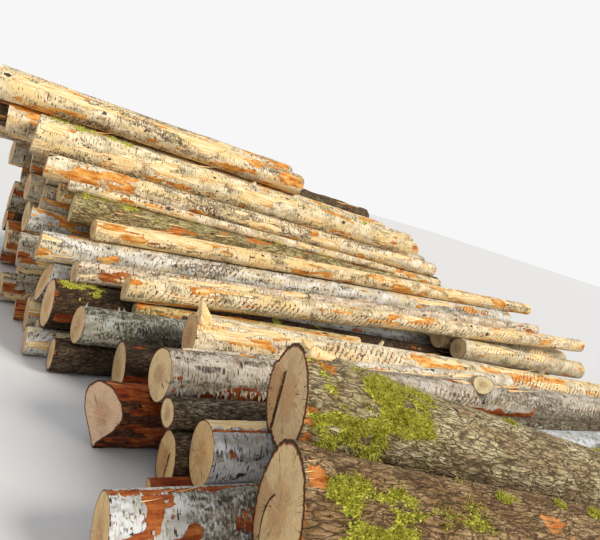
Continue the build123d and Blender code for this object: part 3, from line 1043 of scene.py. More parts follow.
@dataclass(frozen=True)
class StrippedWood(Bared):
    """Stem without bark: fibres along it, with red-brown remains of the inner bark."""

    name: str = "stripped_wood"
    roughness: float = 0.7
    bump: float = 0.8
    inner: Stops = ((0.30, "#4f1c0f"), (0.45, "#7d3318"), (0.70, "#b4632f"))
    wood: Stops = ((0.30, "#b0733c"), (0.45, "#d6a061"), (0.70, "#eccb96"))

    def pattern(self, nodes: Nodes) -> tuple[Socket, Socket]:
        """Draws fibres and what is left of the inner bark.

        Args:
            nodes: The material's nodes.

        Returns:
            Its colour and its height.
        """
        # Drawn 6 mm wide so that they show at this distance
        fibres = nodes.relief((260.0, 6.0), 4.0)
        wood = nodes.add(Kind.RAMP, fibres,
                         stops=((0.30, "#8c4a24"), (0.44, "#bb7440"), (0.58, "#d9a169"), (0.72, "#ecca98")))
        remains = nodes.patches((140.0, 26.0), 5.0, 0.52, 0.62)
        wood = nodes.layered(nodes.add(Kind.TINT, 1.0, wood, "tint"), (remains, "#6d2c17"))
        colour, level = self.opened(nodes, wood, fibres)
        return colour, nodes.total((level, 1.0), (remains, 0.6))


@dataclass(frozen=True)
class SawnEnd(Finish):
    """Sawn end grain: rings, drying checks, saw marks, a darker heart and the bark's edge round it."""

    name: str = "sawn_end_grain"

    def pattern(self, nodes: Nodes) -> tuple[Socket, Socket]:
        """Draws the end grain in the wood's own colour.

        Args:
            nodes: The material's nodes.

        Returns:
            Its colour and its height.
        """
        flat = nodes.add(Kind.STRETCH, "grain", (0.0, 1.0, 1.0))
        wander = nodes.relief((60.0, 60.0))
        rings = nodes.add(Kind.SINE, nodes.total((nodes.add(Kind.OUT, flat), TURN / YEAR_RING), (wander, 9.0)))
        heart = nodes.mask(0.78, 0.42, ("share", 1.0), (nodes.relief((45.0, 45.0)), 0.35))
        # Saw marks: ridges 8 mm apart that run on for 38 mm, across the whole face
        marks = nodes.add(Kind.NOISE, nodes.add(Kind.STRETCH, flat, (0.0, 26.0, 120.0)), 1.0, 3.0, 0.3)
        grey = nodes.add(Kind.TIMES, nodes.patches((70.0, 70.0), 5.0, 0.48, 0.72), 0.35)
        # Drying checks run out from the pith
        star = nodes.add(Kind.BEND, nodes.add(Kind.WAY, flat), (3.2, 3.2, 3.2), "grain")
        off = nodes.add(Kind.SIZE, nodes.add(Kind.LESS, nodes.add(Kind.NOISE, star, 1.6, 2.0), 0.5))
        check = nodes.add(Kind.TIMES, nodes.add(Kind.EDGE, off, 0.010, 0.003), nodes.add(Kind.EDGE, wander, 0.42, 0.60))
        rim = nodes.total(("rim", 1.0), (nodes.relief((12.0, 12.0), 2.0), 0.6))
        # The strip left where the tree hung is darker, behind a black crack, and bast and bark ring the whole face
        ring, ridge, groove, strip, crack, bast, bark = (nodes.add(Kind.EDGE, *edge) for edge in (
            (rings, 0.1, 2.6), (marks, 0.52, 0.85), (marks, 0.46, 0.10), ("stain", 0.0, 2.2), ("crack", 0.35, 0.95),
            (rim, 1.55, 1.30), (rim, 1.15, 0.95)))
        wood = nodes.layered(
            "tint", (ring, "#b07a45"), (nodes.add(Kind.TIMES, heart, 0.45), "#b9783f"), (ridge, "#f8e6c0"),
            (groove, "#b98a55"), (grey, "#ad9c80"), (check, "#4a3020"), (strip, "#a5662f"), (crack, "#3c2818"),
            (bast, "#96562c"), (bark, "#4a3526"))
        return wood, nodes.total((rings, 0.12), (marks, 0.9), (check, -1.0), (grey, 0.3))


@dataclass(frozen=True)
class MossBlades(Finish):
    """Blades of moss: dark at their feet as painted shade between them, and yellow-green at the tips, so that a cushion
    looks deep.
    """

    name: str = "moss_blades"
    roughness: float = 0.9
    bump: float = 0.0

    def pattern(self, nodes: Nodes) -> tuple[Socket, Socket]:
        """Draws the greens, from the blades' feet, darkened as painted shade, to their tips."""
        height = nodes.total(("share", 0.34), (nodes.relief((30.0, 30.0), 4.0), 0.7))
        return nodes.add(Kind.RAMP, height, stops=MOSS_GREENS), height


@dataclass(frozen=True)
class TornFibre(Finish):
    """Freshly torn wood: pale fibres, bright beside the weathered faces."""

    name: str = "torn_fibre"
    roughness: float = 0.7
    depth: float = 0.002

    def pattern(self, nodes: Nodes) -> tuple[Socket, Socket]:
        """Draws the fibres.

        Args:
            nodes: The material's nodes.

        Returns:
            Its colour and its height.
        """
        # Drawn 4 mm wide so that they show at this distance
        fibres = nodes.relief((90.0, 4.0))
        wood = nodes.add(Kind.RAMP, fibres, stops=((0.30, "#c9904f"), (0.44, "#eecf98"), (0.60, "#fff3d2")))
        return nodes.add(Kind.TINT, 1.0, wood, "tint"), fibres


@dataclass(frozen=True)
class Torn:
    """Torn pieces spread over part of a stem's side."""

    count: int
    span: tuple[float, float]                       # metres from the butt between which they start
    bearings: tuple[float, float]                   # degrees round the stem between which they lie
    sizes: tuple[float, float] = (0.020, 0.055)     # metres, shortest and longest


@dataclass(frozen=True)
class Spike:
    """A pointed slab of wood that stands up where the stem tore as it was felled."""

    along: float        # metres from the butt
    bearing: float      # degrees round the stem
    height: float       # how far it stands out
    width: float        # round the stem
    length: float       # along the stem
    columns: int = 12


@dataclass(frozen=True)
class Stub:
    """The stub of a branch that was cut off."""

    along: float        # metres from the butt
    bearing: float      # degrees round the stem
    radius: float
    length: float       # how far it stands out
    lean: float         # how far it leans towards the tip, in lengths
    columns: int = 14


@dataclass(frozen=True)
class Tatters:
    """The loose pieces of one stem."""

    curls: tuple[Torn, ...] = ()
    splinters: tuple[Torn, ...] = ()
    spikes: tuple[Spike, ...] = ()
    stubs: tuple[Stub, ...] = ()


@dataclass
class Loose:
    """Small torn and grown pieces that stand off a stem's skin: bark curls, splinters, stubs and moss."""

    side: LogSkin       # the stem's skin, already placed
    seed: int           # what sets these pieces apart

    def __post_init__(self) -> None:
        """Starts the random draws."""
        self.random = np.random.default_rng(self.seed)

    def seat(self, along: float, bearing: float) -> tuple[np.ndarray, np.ndarray, np.ndarray]:
        """Finds a place on the skin.

        Args:
            along: Metres from the butt.
            bearing: Degrees round the stem.

        Returns:
            The place, the way out of the stem, and the way round it towards higher bearings.
        """
        side = self.side
        angle = math.radians(bearing)
        row = int(np.clip(np.searchsorted(side.along, along), 1, len(side.along) - 1))
        share = (along - side.along[row - 1]) / (side.along[row] - side.along[row - 1])
        column = int(round(angle / TURN * len(side.angles))) % len(side.angles)
        place = side.points[row - 1, column] * (1.0 - share) + side.points[row, column] * share
        middle = np.array([place[0], *side.stem.middle(place[:1])[0]])
        out, round_it = directions(np.array(angle))
        return middle + out * np.linalg.norm(place - middle), out, round_it

    def strip(self, skin: Skin, line: np.ndarray, widths: np.ndarray, wide: np.ndarray, finish: int, tint: str) -> None:
        """Adds a thin strip along a line.

        Args:
            skin: The mesh to add to.
            line: Points along its middle.
            widths: Its width at each.
            wide: The direction of its width.
            finish: Number of its material.
            tint: Its tint.
        """
        half = widths[:, None] / 2.0 * wide
        points = np.concatenate([line - half, line + half])
        count = len(line)
        first = np.arange(count - 1)
        quads = np.stack([first, first + 1, first + 1 + count, first + count], axis=-1)
        grain = points - self.side.stem.butt + self.random.uniform(0.0, 9.0)
        skin.add(points, quads, finish, **point_values(grain, tint, 1.0))

    def curls(self, skin: Skin, torn: Torn) -> None:
        """Adds torn points of paper bark that lift off round the stem.

        Args:
            skin: The mesh to add to.
            torn: How many and where.
        """
        for _ in range(torn.count):
            place, out, round_it = self.seat(self.random.uniform(*torn.span), self.random.uniform(*torn.bearings))
            length = self.random.uniform(*torn.sizes)
            way = 1.0 if self.random.random() < 0.7 else -1.0
            t = np.linspace(0.0, 1.0, 6)[:, None]
            rise = self.random.uniform(0.15, 0.75)
            skew = self.random.uniform(-0.4, 0.4)
            line = place - 0.002 * out + way * round_it * length * t * (1.0 - 0.3 * rise * t)
            line = line + out * (length * rise * t ** 2) + AXIS * length * skew * t
            widths = self.random.uniform(0.010, 0.028) * np.array([1.0, 0.92, 0.75, 0.55, 0.3, 0.05])
            self.strip(skin, line, widths, AXIS, 0, self.side.dress.tint)

    def splinters(self, skin: Skin, torn: Torn) -> None:
        """Adds torn fibres that lie along the stem and lift at one end.

        Args:
            skin: The mesh to add to.
            torn: How many and where.
        """
        for _ in range(torn.count):
            place, out, round_it = self.seat(self.random.uniform(*torn.span), self.random.uniform(*torn.bearings))
            length = self.random.uniform(*torn.sizes)
            t = np.linspace(0.0, 1.0, 7)[:, None]
            lift = self.random.uniform(0.05, 0.22)
            line = place + AXIS * length * t + out * (length * lift * t ** 2 - 0.001)
            line = line + round_it * self.random.uniform(-0.12, 0.12) * length * t ** 2
            widths = self.random.uniform(0.05, 0.09) * length * np.array([0.9, 1.0, 0.9, 0.7, 0.5, 0.3, 0.05])
            self.strip(skin, line, widths, round_it, 1, TORN_WOOD)
            self.strip(skin, line, 0.6 * widths, out, 1, TORN_WOOD)

    def spike(self, skin: Skin, spike: Spike) -> None:
        """Adds a spike.

        Args:
            skin: The mesh to add to.
            spike: Its place and sizes.
        """
        place, out, round_it = self.seat(spike.along, spike.bearing)
        angles = TURN * np.arange(spike.columns) / spike.columns
        rough = 1.0 + self.random.uniform(-0.14, 0.14, spike.columns)[:, None]
        rows = []
        for t in (-0.12, 0.0, 0.18, 0.4, 0.62, 0.82, 0.96):
            thin = (1.0 - max(t, 0.0)) ** 0.85
            lean = AXIS * (0.5 * spike.length * thin + 0.004) + round_it * 0.1 * spike.width * math.sin(5.0 * t)
            ring = np.cos(angles)[:, None] * round_it * spike.width / 2.0 * thin
            ring = ring + np.clip(1.5 * np.sin(angles), -1.0, 1.0)[:, None] * AXIS * spike.length / 2.0 * thin
            rows.append(place + out * spike.height * t + lean + ring * rough)
        points = np.array(rows)
        grain = (points - place)[..., [2, 1, 0]] + spike.along
        skin.add(points, grid_quads(len(rows), spike.columns)[:, ::-1], 1, **point_values(grain, TORN_WOOD, 1.0))

    def stub(self, skin: Skin, stub: Stub) -> None:
        """Adds a stub, with the stem's bark round it and pale wood at its cut.

        Args:
            skin: The mesh to add to.
            stub: Its place and sizes.
        """
        place, out, round_it = self.seat(stub.along, stub.bearing)
        columns, radius, length = stub.columns, stub.radius, stub.length
        angles = TURN * np.arange(columns) / columns
        way = (out + AXIS * stub.lean) / math.hypot(1.0, stub.lean)
        ring = np.cos(angles)[:, None] * round_it + np.sin(angles)[:, None] * np.cross(way, round_it)
        ring = ring * (1.0 + 0.06 * np.cos(3.0 * angles + stub.along)[:, None]) * radius
        rows = ((-0.02, 1.5), (0.15 * length, 1.15), (0.6 * length, 1.0), (length, 0.96))
        points = np.array([place + way * reach + ring * grow for reach, grow in rows])
        values = point_values(points - place + stub.along, self.side.dress.tint, 1.0,
                              knot=np.repeat([0.4, 0.4, 0.0, 0.0], columns))
        skin.add(points, grid_quads(len(rows), columns), 0, **values)
        shares = np.array([1.0, 0.85, 0.45, 0.01])
        middle = place + way * length
        face = middle + (points[-1] - middle) * shares[:, None, None]
        values = point_values(directions(angles)[0] * radius * shares[:, None, None], CUT_BRANCH,
                              np.repeat(shares, columns), rim=np.repeat((1.0 - shares) * radius / 0.003, columns))
        skin.add(face, grid_quads(len(shares), columns), 2, **values)

    def moss(self, skin: Skin, count: int) -> None:
        """Adds blades of moss where the skin's mask has moss.

        Args:
            skin: The mesh to add to.
            count: How many.
        """
        side = self.side
        cover = side.masks[Mask.MOSS] * side.radii
        cover[0] = 0.0
        chance = (cover ** 2 * np.gradient(side.along)[:, None]).ravel()
        picks = self.random.choice(len(chance), count, p=chance / chance.sum())
        rows, columns = np.unravel_index(picks, cover.shape)
        base = side.points[rows, columns]
        after = side.points[np.minimum(rows + 1, len(side.along) - 1), columns]
        base = base + (after - base) * self.random.random((count, 1))
        out, round_it = directions(side.angles[columns])
        turn = self.random.uniform(0.0, TURN, count)[:, None]
        wide = np.cos(turn) * AXIS + np.sin(turn) * round_it
        base = base + round_it * self.random.uniform(-0.006, 0.006, (count, 1))
        lean = self.random.normal(0.0, 0.5, (count, 3))
        tip = base + (out + lean * 0.7) * self.random.uniform(0.007, 0.018, (count, 1))
        half = wide * self.random.uniform(0.0016, 0.0034, (count, 1))
        low = base - out * 0.004
        points = np.stack([low - half, low + half, tip + half * 0.25, tip - half * 0.25], axis=1).reshape(-1, 3)
        shade = np.tile(np.array([0.0, 0.0, 1.0, 1.0]), count)
        skin.add(points, np.arange(4 * count).reshape(-1, 4), 0, grain=points + 3.0, share=shade)


@dataclass
class Heap:
    """All the stems of the heap, dressed."""

    mossy: FurrowedBark = FurrowedBark(
        name="old_mossy_bark", deep="#4d4134", brown="#937f68", grey="#b8ab90", lichen="#d8d3ba", lichen_share=0.44,
        cloud=(240.0, 120.0), plates=(130.0, 26.0), depth=0.006, open=0.40,
        inner=((0.30, "#8a4218"), (0.45, "#c9742b"), (0.70, "#e8a866")))
    node_seeds: int = 101       # how far apart the random draws of two nodes start
    stem_seeds: int = 7         # and those of two stems of a node
    tatter_seed: int = 900
    moss_seed: int = 500

    def __post_init__(self) -> None:
        """Makes the finishes that the stems share."""
        finishes = {Bark.BIRCH: BirchBark(), Bark.ROUGH: FurrowedBark(), Bark.MOSSY: self.mossy,
                    Bark.BARE: StrippedWood()}
        self.barks = {bark: finish.make() for bark, finish in finishes.items()}
        self.sawn, self.blades, self.fibre = SawnEnd().make(), MossBlades().make(), TornFibre().make()
        self.slots = {part["node"]: part["material_slot"] for part in frame["record"]["subparts"]}
        self.skins: dict[str, list[LogSkin]] = {}

    def dress_node(self, node: str, dresses: list[Dress], seed: int) -> bpy.types.Object:
        """Builds the piece that stands for one node.

        Args:
            node: The node's name.
            dresses: How each of its stems looks, taken in turn.
            seed: What sets its stems apart from those of other nodes.

        Returns:
            The piece.
        """
        stems = read_stems(node)
        worn = [dresses[k % len(dresses)] for k in range(len(stems))]
        barks = sorted({dress.bark for dress in worn}, key=lambda bark: bark.value)
        skin = Skin()
        self.skins[node] = [LogSkin(stem, dress, seed * self.node_seeds + k * self.stem_seeds)
                            for k, (stem, dress) in enumerate(zip(stems, worn))]
        for side in self.skins[node]:
            side.add_to(skin, barks.index(side.dress.bark), len(barks))
        piece = self.carry(skin, "_stem", node, [self.barks[bark] for bark in barks] + [self.sawn], {len(barks)})
        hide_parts(node)
        return piece

    def carry(self, skin: Skin, ending: str, node: str, materials: list[bpy.types.Material],
              flat: set[int] = frozenset()) -> bpy.types.Object:
        """Makes a piece and fixes it to the heap.

        Args:
            skin: Its mesh.
            ending: How its name ends, after the stem's own.
            node: The node that it stands for or stands on.
            materials: Its materials, by number.
            flat: Numbers of those that are shaded flat.

        Returns:
            The piece.
        """
        piece = skin.build(node.replace("_log", ending), materials, flat)
        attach(piece, "root")
        return piece

    def tatter(self) -> list[bpy.types.Object]:
        """Adds bark curls, splinters, branch stubs and spikes to the stems that show them.

        Returns:
            The pieces.
        """
        pieces = []
        for number, (node, tatters) in enumerate(sorted(TATTERS.items())):
            side, skin = self.skins[node][0], Skin()
            loose = Loose(side, self.tatter_seed + number)
            for adds, parts in ((loose.curls, tatters.curls), (loose.splinters, tatters.splinters),
                                (loose.spike, tatters.spikes), (loose.stub, tatters.stubs)):
                for part in parts:
                    adds(skin, part)
            pieces.append(self.carry(skin, "_tatters", node, [self.barks[side.dress.bark], self.fibre, self.sawn], {2}))
        return pieces

    def grow_moss(self, blades: dict[str, int]) -> list[bpy.types.Object]:
        """Grows moss on the stems that have it.

        Args:
            blades: How many blades each node gets.

        Returns:
            The pieces.
        """
        pieces = []
        for number, (node, count) in enumerate(sorted(blades.items())):
            skin = Skin()
            Loose(self.skins[node][0], self.moss_seed + number).moss(skin, count)
            pieces.append(self.carry(skin, "_moss", node, [self.blades]))
        return pieces


# How finely a skin is meshed: near the camera, on the heap's face, and inside the heap
NEAR = {"row": 0.024, "columns": 54, "rings": 10}
FACE = {"row": 0.043, "columns": 36, "rings": 7}
INNER = {"row": 0.078, "columns": 26, "rings": 5, "knots": 5}
# What furrowed and old mossy barks have in common
ROUGH = {"bark": Bark.ROUGH, "thickness": 0.008, "relief": 0.006, "slits": 0.1, "grime": 0.0}
OLD = {"bark": Bark.MOSSY, "thickness": 0.014, "relief": 0.010, "row": 0.0120, "columns": 144, "rings": 26, "knots": 3,
       "peel": 0.0, "stain": 0.0, "slits": 0.0, "grime": 0.0}
PAINTED_SHADE_TINT = "#e3e8ee"        # tint of the birches on the heap's shaded side: painted cool shade

# The warm cream tints of the birches on the heap's sunlit top are partly painted warm sunlight
DRESSES: dict[str, list[Dress]] = {
    "near_side_log": [Dress(tint=PAINTED_SHADE_TINT, **FACE)],
    # Its bluish tint and low freshness are painted shade, and its grime and knot patches past 0.3 m are partly dirt and
    # partly painted shade from the mossy logs above
    "wounded_birch_log": [Dress(
        tint="#d9e0ea", wood="#efc98f", peel=0.0, stain=0.0, fresh_and_sunlit=0.12, slits=0.0, knots=5, grime=0.0,
        **NEAR, patches=(
            Patch(Mask.STAIN, 0.13, 0.20, 92, 152, 1.0, 0.02), Patch(Mask.STAIN, 0.02, 0.34, 146, 190, 1.0, 0.02),
            Patch(Mask.STAIN, 0.16, 0.26, 86, 112, 0.9, 0.02), Patch(Mask.STAIN, 0.0, 1.40, 66, 84, 0.75, 0.02),
            Patch(Mask.STAIN, 0.50, 0.66, 116, 160, 0.6, 0.04), Patch(Mask.GRIME, 0.30, 4.9, 60, 200, 1.0, 0.08),
            Patch(Mask.KNOT, 0.40, 4.9, 60, 200, 0.52, 0.08)))],
    "thin_pale_log": [Dress(tint="#f2ede2", wood="#f0dcb0", **FACE)],
    "twin_stem_log": [Dress(
        tint="#e6ddd0", wood="#efca8c", stain=0.0, peel=0.0, step=0.003, hinge=-0.2, **ROUGH, **NEAR)],
    "heart_butt_log": [Dress(
        tint="#c2876a", wood="#ecc6a2", stain=0.5, fresh_and_sunlit=0.15, peel=0.05, pinch=0.86, **ROUGH, **NEAR)],
    "red_peeled_log": [Dress(
        bark=Bark.BARE, tint="#a35a36", wood="#eccb96", stain=0.8, fresh_and_sunlit=0.3, peel=0.1, slits=0.0, **NEAR)],
    "barkless_log": [Dress(tint="#8d7f72", wood="#eac893", peel=0.1, stain=0.3, fresh_and_sunlit=0.0, **ROUGH, **NEAR)],
    "dark_rough_log": [Dress(tint="#978a7e", wood="#e0bd8a", peel=0.1, stain=0.2, fresh_and_sunlit=0.0, **ROUGH, **FACE)],
    "thin_side_log": [Dress(tint=PAINTED_SHADE_TINT, **FACE)],
    "thin_red_log": [Dress(bark=Bark.BARE, tint="#96482c", wood="#e3bc86", stain=0.8, peel=0.0, slits=0.0, **FACE)],
    # Its bluish tint and low freshness are painted sky shade
    "peeled_birch_log": [Dress(
        tint="#d4deee", wood="#edc387", peel=0.0, stain=0.0, fresh_and_sunlit=0.1, slits=0.0, knots=4, grime=0.0,
        **NEAR, patches=(
            Patch(Mask.PEEL, -1.0, 0.42, 56, 104, 1.0, 0.012), Patch(Mask.STAIN, 0.05, 0.13, 136, 168, 0.62, 0.05),
            Patch(Mask.STAIN, -1.0, 0.44, 100, 112, 0.9, 0.010)))],
    "grey_thin_log": [Dress(tint="#efefea", wood="#efd3a0", stain=0.0, peel=0.0, **ROUGH, **FACE)],
    # Its darkened tint and low freshness are partly painted shade
    "knotted_birch_log": [Dress(
        tint="#cdc8c2", wood="#efd09c", peel=0.0, stain=0.0, fresh_and_sunlit=0.1, slits=0.2, knots=6, grime=0.6,
        **NEAR, patches=(
            Patch(Mask.KNOT, 0.13, 0.33, 126, 148, 0.60, 0.012), Patch(Mask.STAIN, -0.01, 0.09, 152, 170, 0.70, 0.03),
            Patch(Mask.STAIN, 0.14, 3.0, 180, 250, 0.95, 0.01), Patch(Mask.STAIN, 0.02, 0.06, 182, 192, 1.0, 0.01),
            Patch(Mask.STAIN, 2.1, 2.9, 84, 106, 0.8), Patch(Mask.PEEL, 2.2, 2.7, 88, 112, 0.8)))],
    "under_birch_log": [Dress(tint="#efe3c8", **FACE)],
    "scarred_birch_log": [Dress(
        tint="#fbf1dc", wood="#e8bf8c", peel=0.3, stain=0.2, fresh_and_sunlit=1.0, slits=0.3, knots=14, grime=0.1,
        **NEAR, patches=(
            Patch(Mask.STAIN, 0.26, 0.52, 150, 166), Patch(Mask.PEEL, 0.0, 0.20, 118, 150, 0.6),
            Patch(Mask.STAIN, 1.75, 2.25, 118, 150), Patch(Mask.PEEL, 1.95, 2.2, 108, 130),
            Patch(Mask.STAIN, 2.50, 3.60, 112, 146), Patch(Mask.PEEL, 2.6, 3.2, 104, 122),
            Patch(Mask.SLIT, 0.9, 1.7, 128, 172), Patch(Mask.SLIT, 2.1, 2.5, 140, 180),
            Patch(Mask.SLIT, 2.5, 5.0, 138, 182)))],
    "slim_birch_log": [Dress(tint="#f3efe8", slits=0.1, **FACE)],
    "lower_mossy_log": [Dress(
        tint="#dabea0", wood="#efcf98", moss=0.12, step=0.003, hinge=0.50, strip_top=0.06, bow=0.9, **OLD, patches=(
            Patch(Mask.MOSS, 0.09, 0.46, 106, 182, 0.9, 0.07), Patch(Mask.MOSS, 0.55, 0.85, 116, 150, 0.5, 0.06),
            Patch(Mask.MOSS, 0.22, 0.34, 128, 146, -0.8, 0.03),
            Patch(Mask.STAIN, 0.005, 0.10, 100, 122, 1.0, 0.03), Patch(Mask.STAIN, 1.14, 1.30, 108, 138, 0.62, 0.05),
            Patch(Mask.STAIN, -1.0, 0.012, 118, 220, 0.5, 0.01), Patch(Mask.STAIN, 0.62, 0.70, 128, 142, 0.6, 0.03)))],
    "upper_mossy_log": [Dress(
        tint="#fbf2da", wood="#e9c795", moss=0.14, step=0.014, hinge=0.42, **OLD, patches=(
            Patch(Mask.MOSS, 0.03, 0.16, 112, 212, 0.95, 0.06), Patch(Mask.MOSS, 0.03, 0.36, 158, 212, 1.0, 0.06),
            Patch(Mask.MOSS, 0.24, 0.62, 98, 162, 0.95, 0.07), Patch(Mask.MOSS, 0.09, 0.22, 112, 150, -0.8, 0.05),
            Patch(Mask.STAIN, 0.03, 0.15, 104, 120, 0.75, 0.04), Patch(Mask.STAIN, 0.0, 0.05, 160, 205, 0.62, 0.02),
            Patch(Mask.STAIN, -1.0, 0.012, 108, 205, 0.5, 0.01)))],
    "side_birch_log": [Dress(tint=PAINTED_SHADE_TINT, **FACE)],
    "ground_face_log": [Dress(tint=PAINTED_SHADE_TINT, **FACE)],
    # Its grey-green tint is the bark's own, darkened and cooled, with its low freshness, as painted shade
    "lichen_birch_log": [Dress(
        tint="#a9aeab", wood="#e2bf90", peel=0.0, stain=0.0, fresh_and_sunlit=0.1, slits=0.0, grime=0.75, **NEAR)],
    "moss_capped_log": [Dress(
        tint="#a38f7c", wood="#e9c493", moss=0.2, stain=0.1, peel=0.05, fresh_and_sunlit=0.2, **ROUGH, **NEAR, patches=(
            Patch(Mask.MOSS, 0.02, 0.26, 92, 124), Patch(Mask.STAIN, 0.0, 0.18, 186, 214),
            Patch(Mask.STAIN, 0.0, 0.08, 84, 100, 0.8)))],
    "slant_cut_log": [Dress(
        tint="#c0c6cc", wood="#eac592", peel=0.0, fresh_and_sunlit=0.1, stain=0.05, slits=0.0, grime=0.4, **FACE)],
    "small_green_log": [Dress(tint="#dccb98", wood="#d9cf9c", stain=0.45, grime=0.5, **FACE)],
    "bright_birch_log": [Dress(
        tint="#fbefd4", wood="#efd09a", peel=0.35, stain=0.25, fresh_and_sunlit=1.0, slits=0.5, grime=0.15, **NEAR, patches=(
            Patch(Mask.STAIN, 0.45, 0.85, 110, 145), Patch(Mask.PEEL, 0.5, 0.95, 118, 138),
            Patch(Mask.SLIT, 0.1, 4.5, 150, 196), Patch(Mask.STAIN, 1.4, 1.9, 140, 165)))],
    "torn_birch_log": [Dress(
        tint="#efe2d4", wood="#edd2a4", peel=0.1, stain=0.2, fresh_and_sunlit=0.3, **FACE, patches=(
            Patch(Mask.STAIN, 0.12, 0.45, 150, 190),))],
    "silver_birch_log": [Dress(tint="#eceef0", peel=0.2, stain=0.2, **FACE)],
    "yellow_birch_log": [Dress(
        tint="#ffeecb", wood="#f3cf8e", peel=0.4, stain=0.35, **FACE, patches=(
            Patch(Mask.STAIN, 0.05, 0.35, 120, 180), Patch(Mask.PEEL, 0.35, 0.9, 130, 180)))],
    "oval_butt_log": [Dress(tint=PAINTED_SHADE_TINT, **FACE)],
    "green_bark_log": [Dress(
        bark=Bark.MOSSY, tint="#f6edc4", wood="#d8cc9c", moss=0.15, peel=0.1, stain=0.1, slits=0.0, grime=0.0,
        thickness=0.008, relief=0.006, **FACE, patches=(
        Patch(Mask.MOSS, 0.05, 0.5, 92, 130, 0.5), Patch(Mask.STAIN, 1.5, 1.75, 96, 124)))],
    "small_pale_log": [Dress(tint="#f6ebd4", **FACE)],
    "silvery_log": [Dress(tint="#eceeea", peel=0.2, **FACE)],
    "shaded_birch_log": [Dress(tint="#d9dad2", **FACE)],
    "pale_crest_log": [Dress(tint="#fff3da", peel=0.35, stain=0.35, grime=0.45, **FACE, patches=(
        Patch(Mask.STAIN, 0.1, 0.5, 110, 150), Patch(Mask.MOSS, 0.02, 0.3, 150, 200, 0.7)))],
    "crest_birch_log": [Dress(tint="#fdf2dc", peel=0.35, stain=0.35, grime=0.5, **FACE)],
    "low_crest_log": [Dress(tint="#ece5d3", **FACE)],
    "moss_topped_birch_log": [Dress(tint="#fbf1d6", wood="#e6c596", moss=0.2, peel=0.25, stain=0.2, **NEAR, patches=(
        Patch(Mask.MOSS, 0.05, 0.7, 84, 118), Patch(Mask.PEEL, 0.05, 0.22, 130, 165),
        Patch(Mask.GRIME, 0.3, 4.2, 50, 112, 0.9)))],
    "inner_logs_course_7": [
        Dress(tint="#fff4dc", wood="#efd09a", peel=0.4, stain=0.5, fresh_and_sunlit=1.0, grime=0.5, **FACE),
        Dress(tint="#f3ead6", peel=0.3, stain=0.3, grime=0.6, **FACE)],
    "inner_logs_course_6": [
        Dress(tint="#f1e6cf", wood="#e9c792", peel=0.3, stain=0.35, moss=0.1, **FACE),
        Dress(tint="#c9b9a4", wood="#dcb27c", stain=0.3, **ROUGH, **INNER), Dress(tint="#efe6d3", **INNER)],
    "short_logs": [Dress(tint="#e8dfca", wood="#f6dcab", **INNER), Dress(tint="#d6cdb8", wood="#f2d8a6", **INNER)],
}
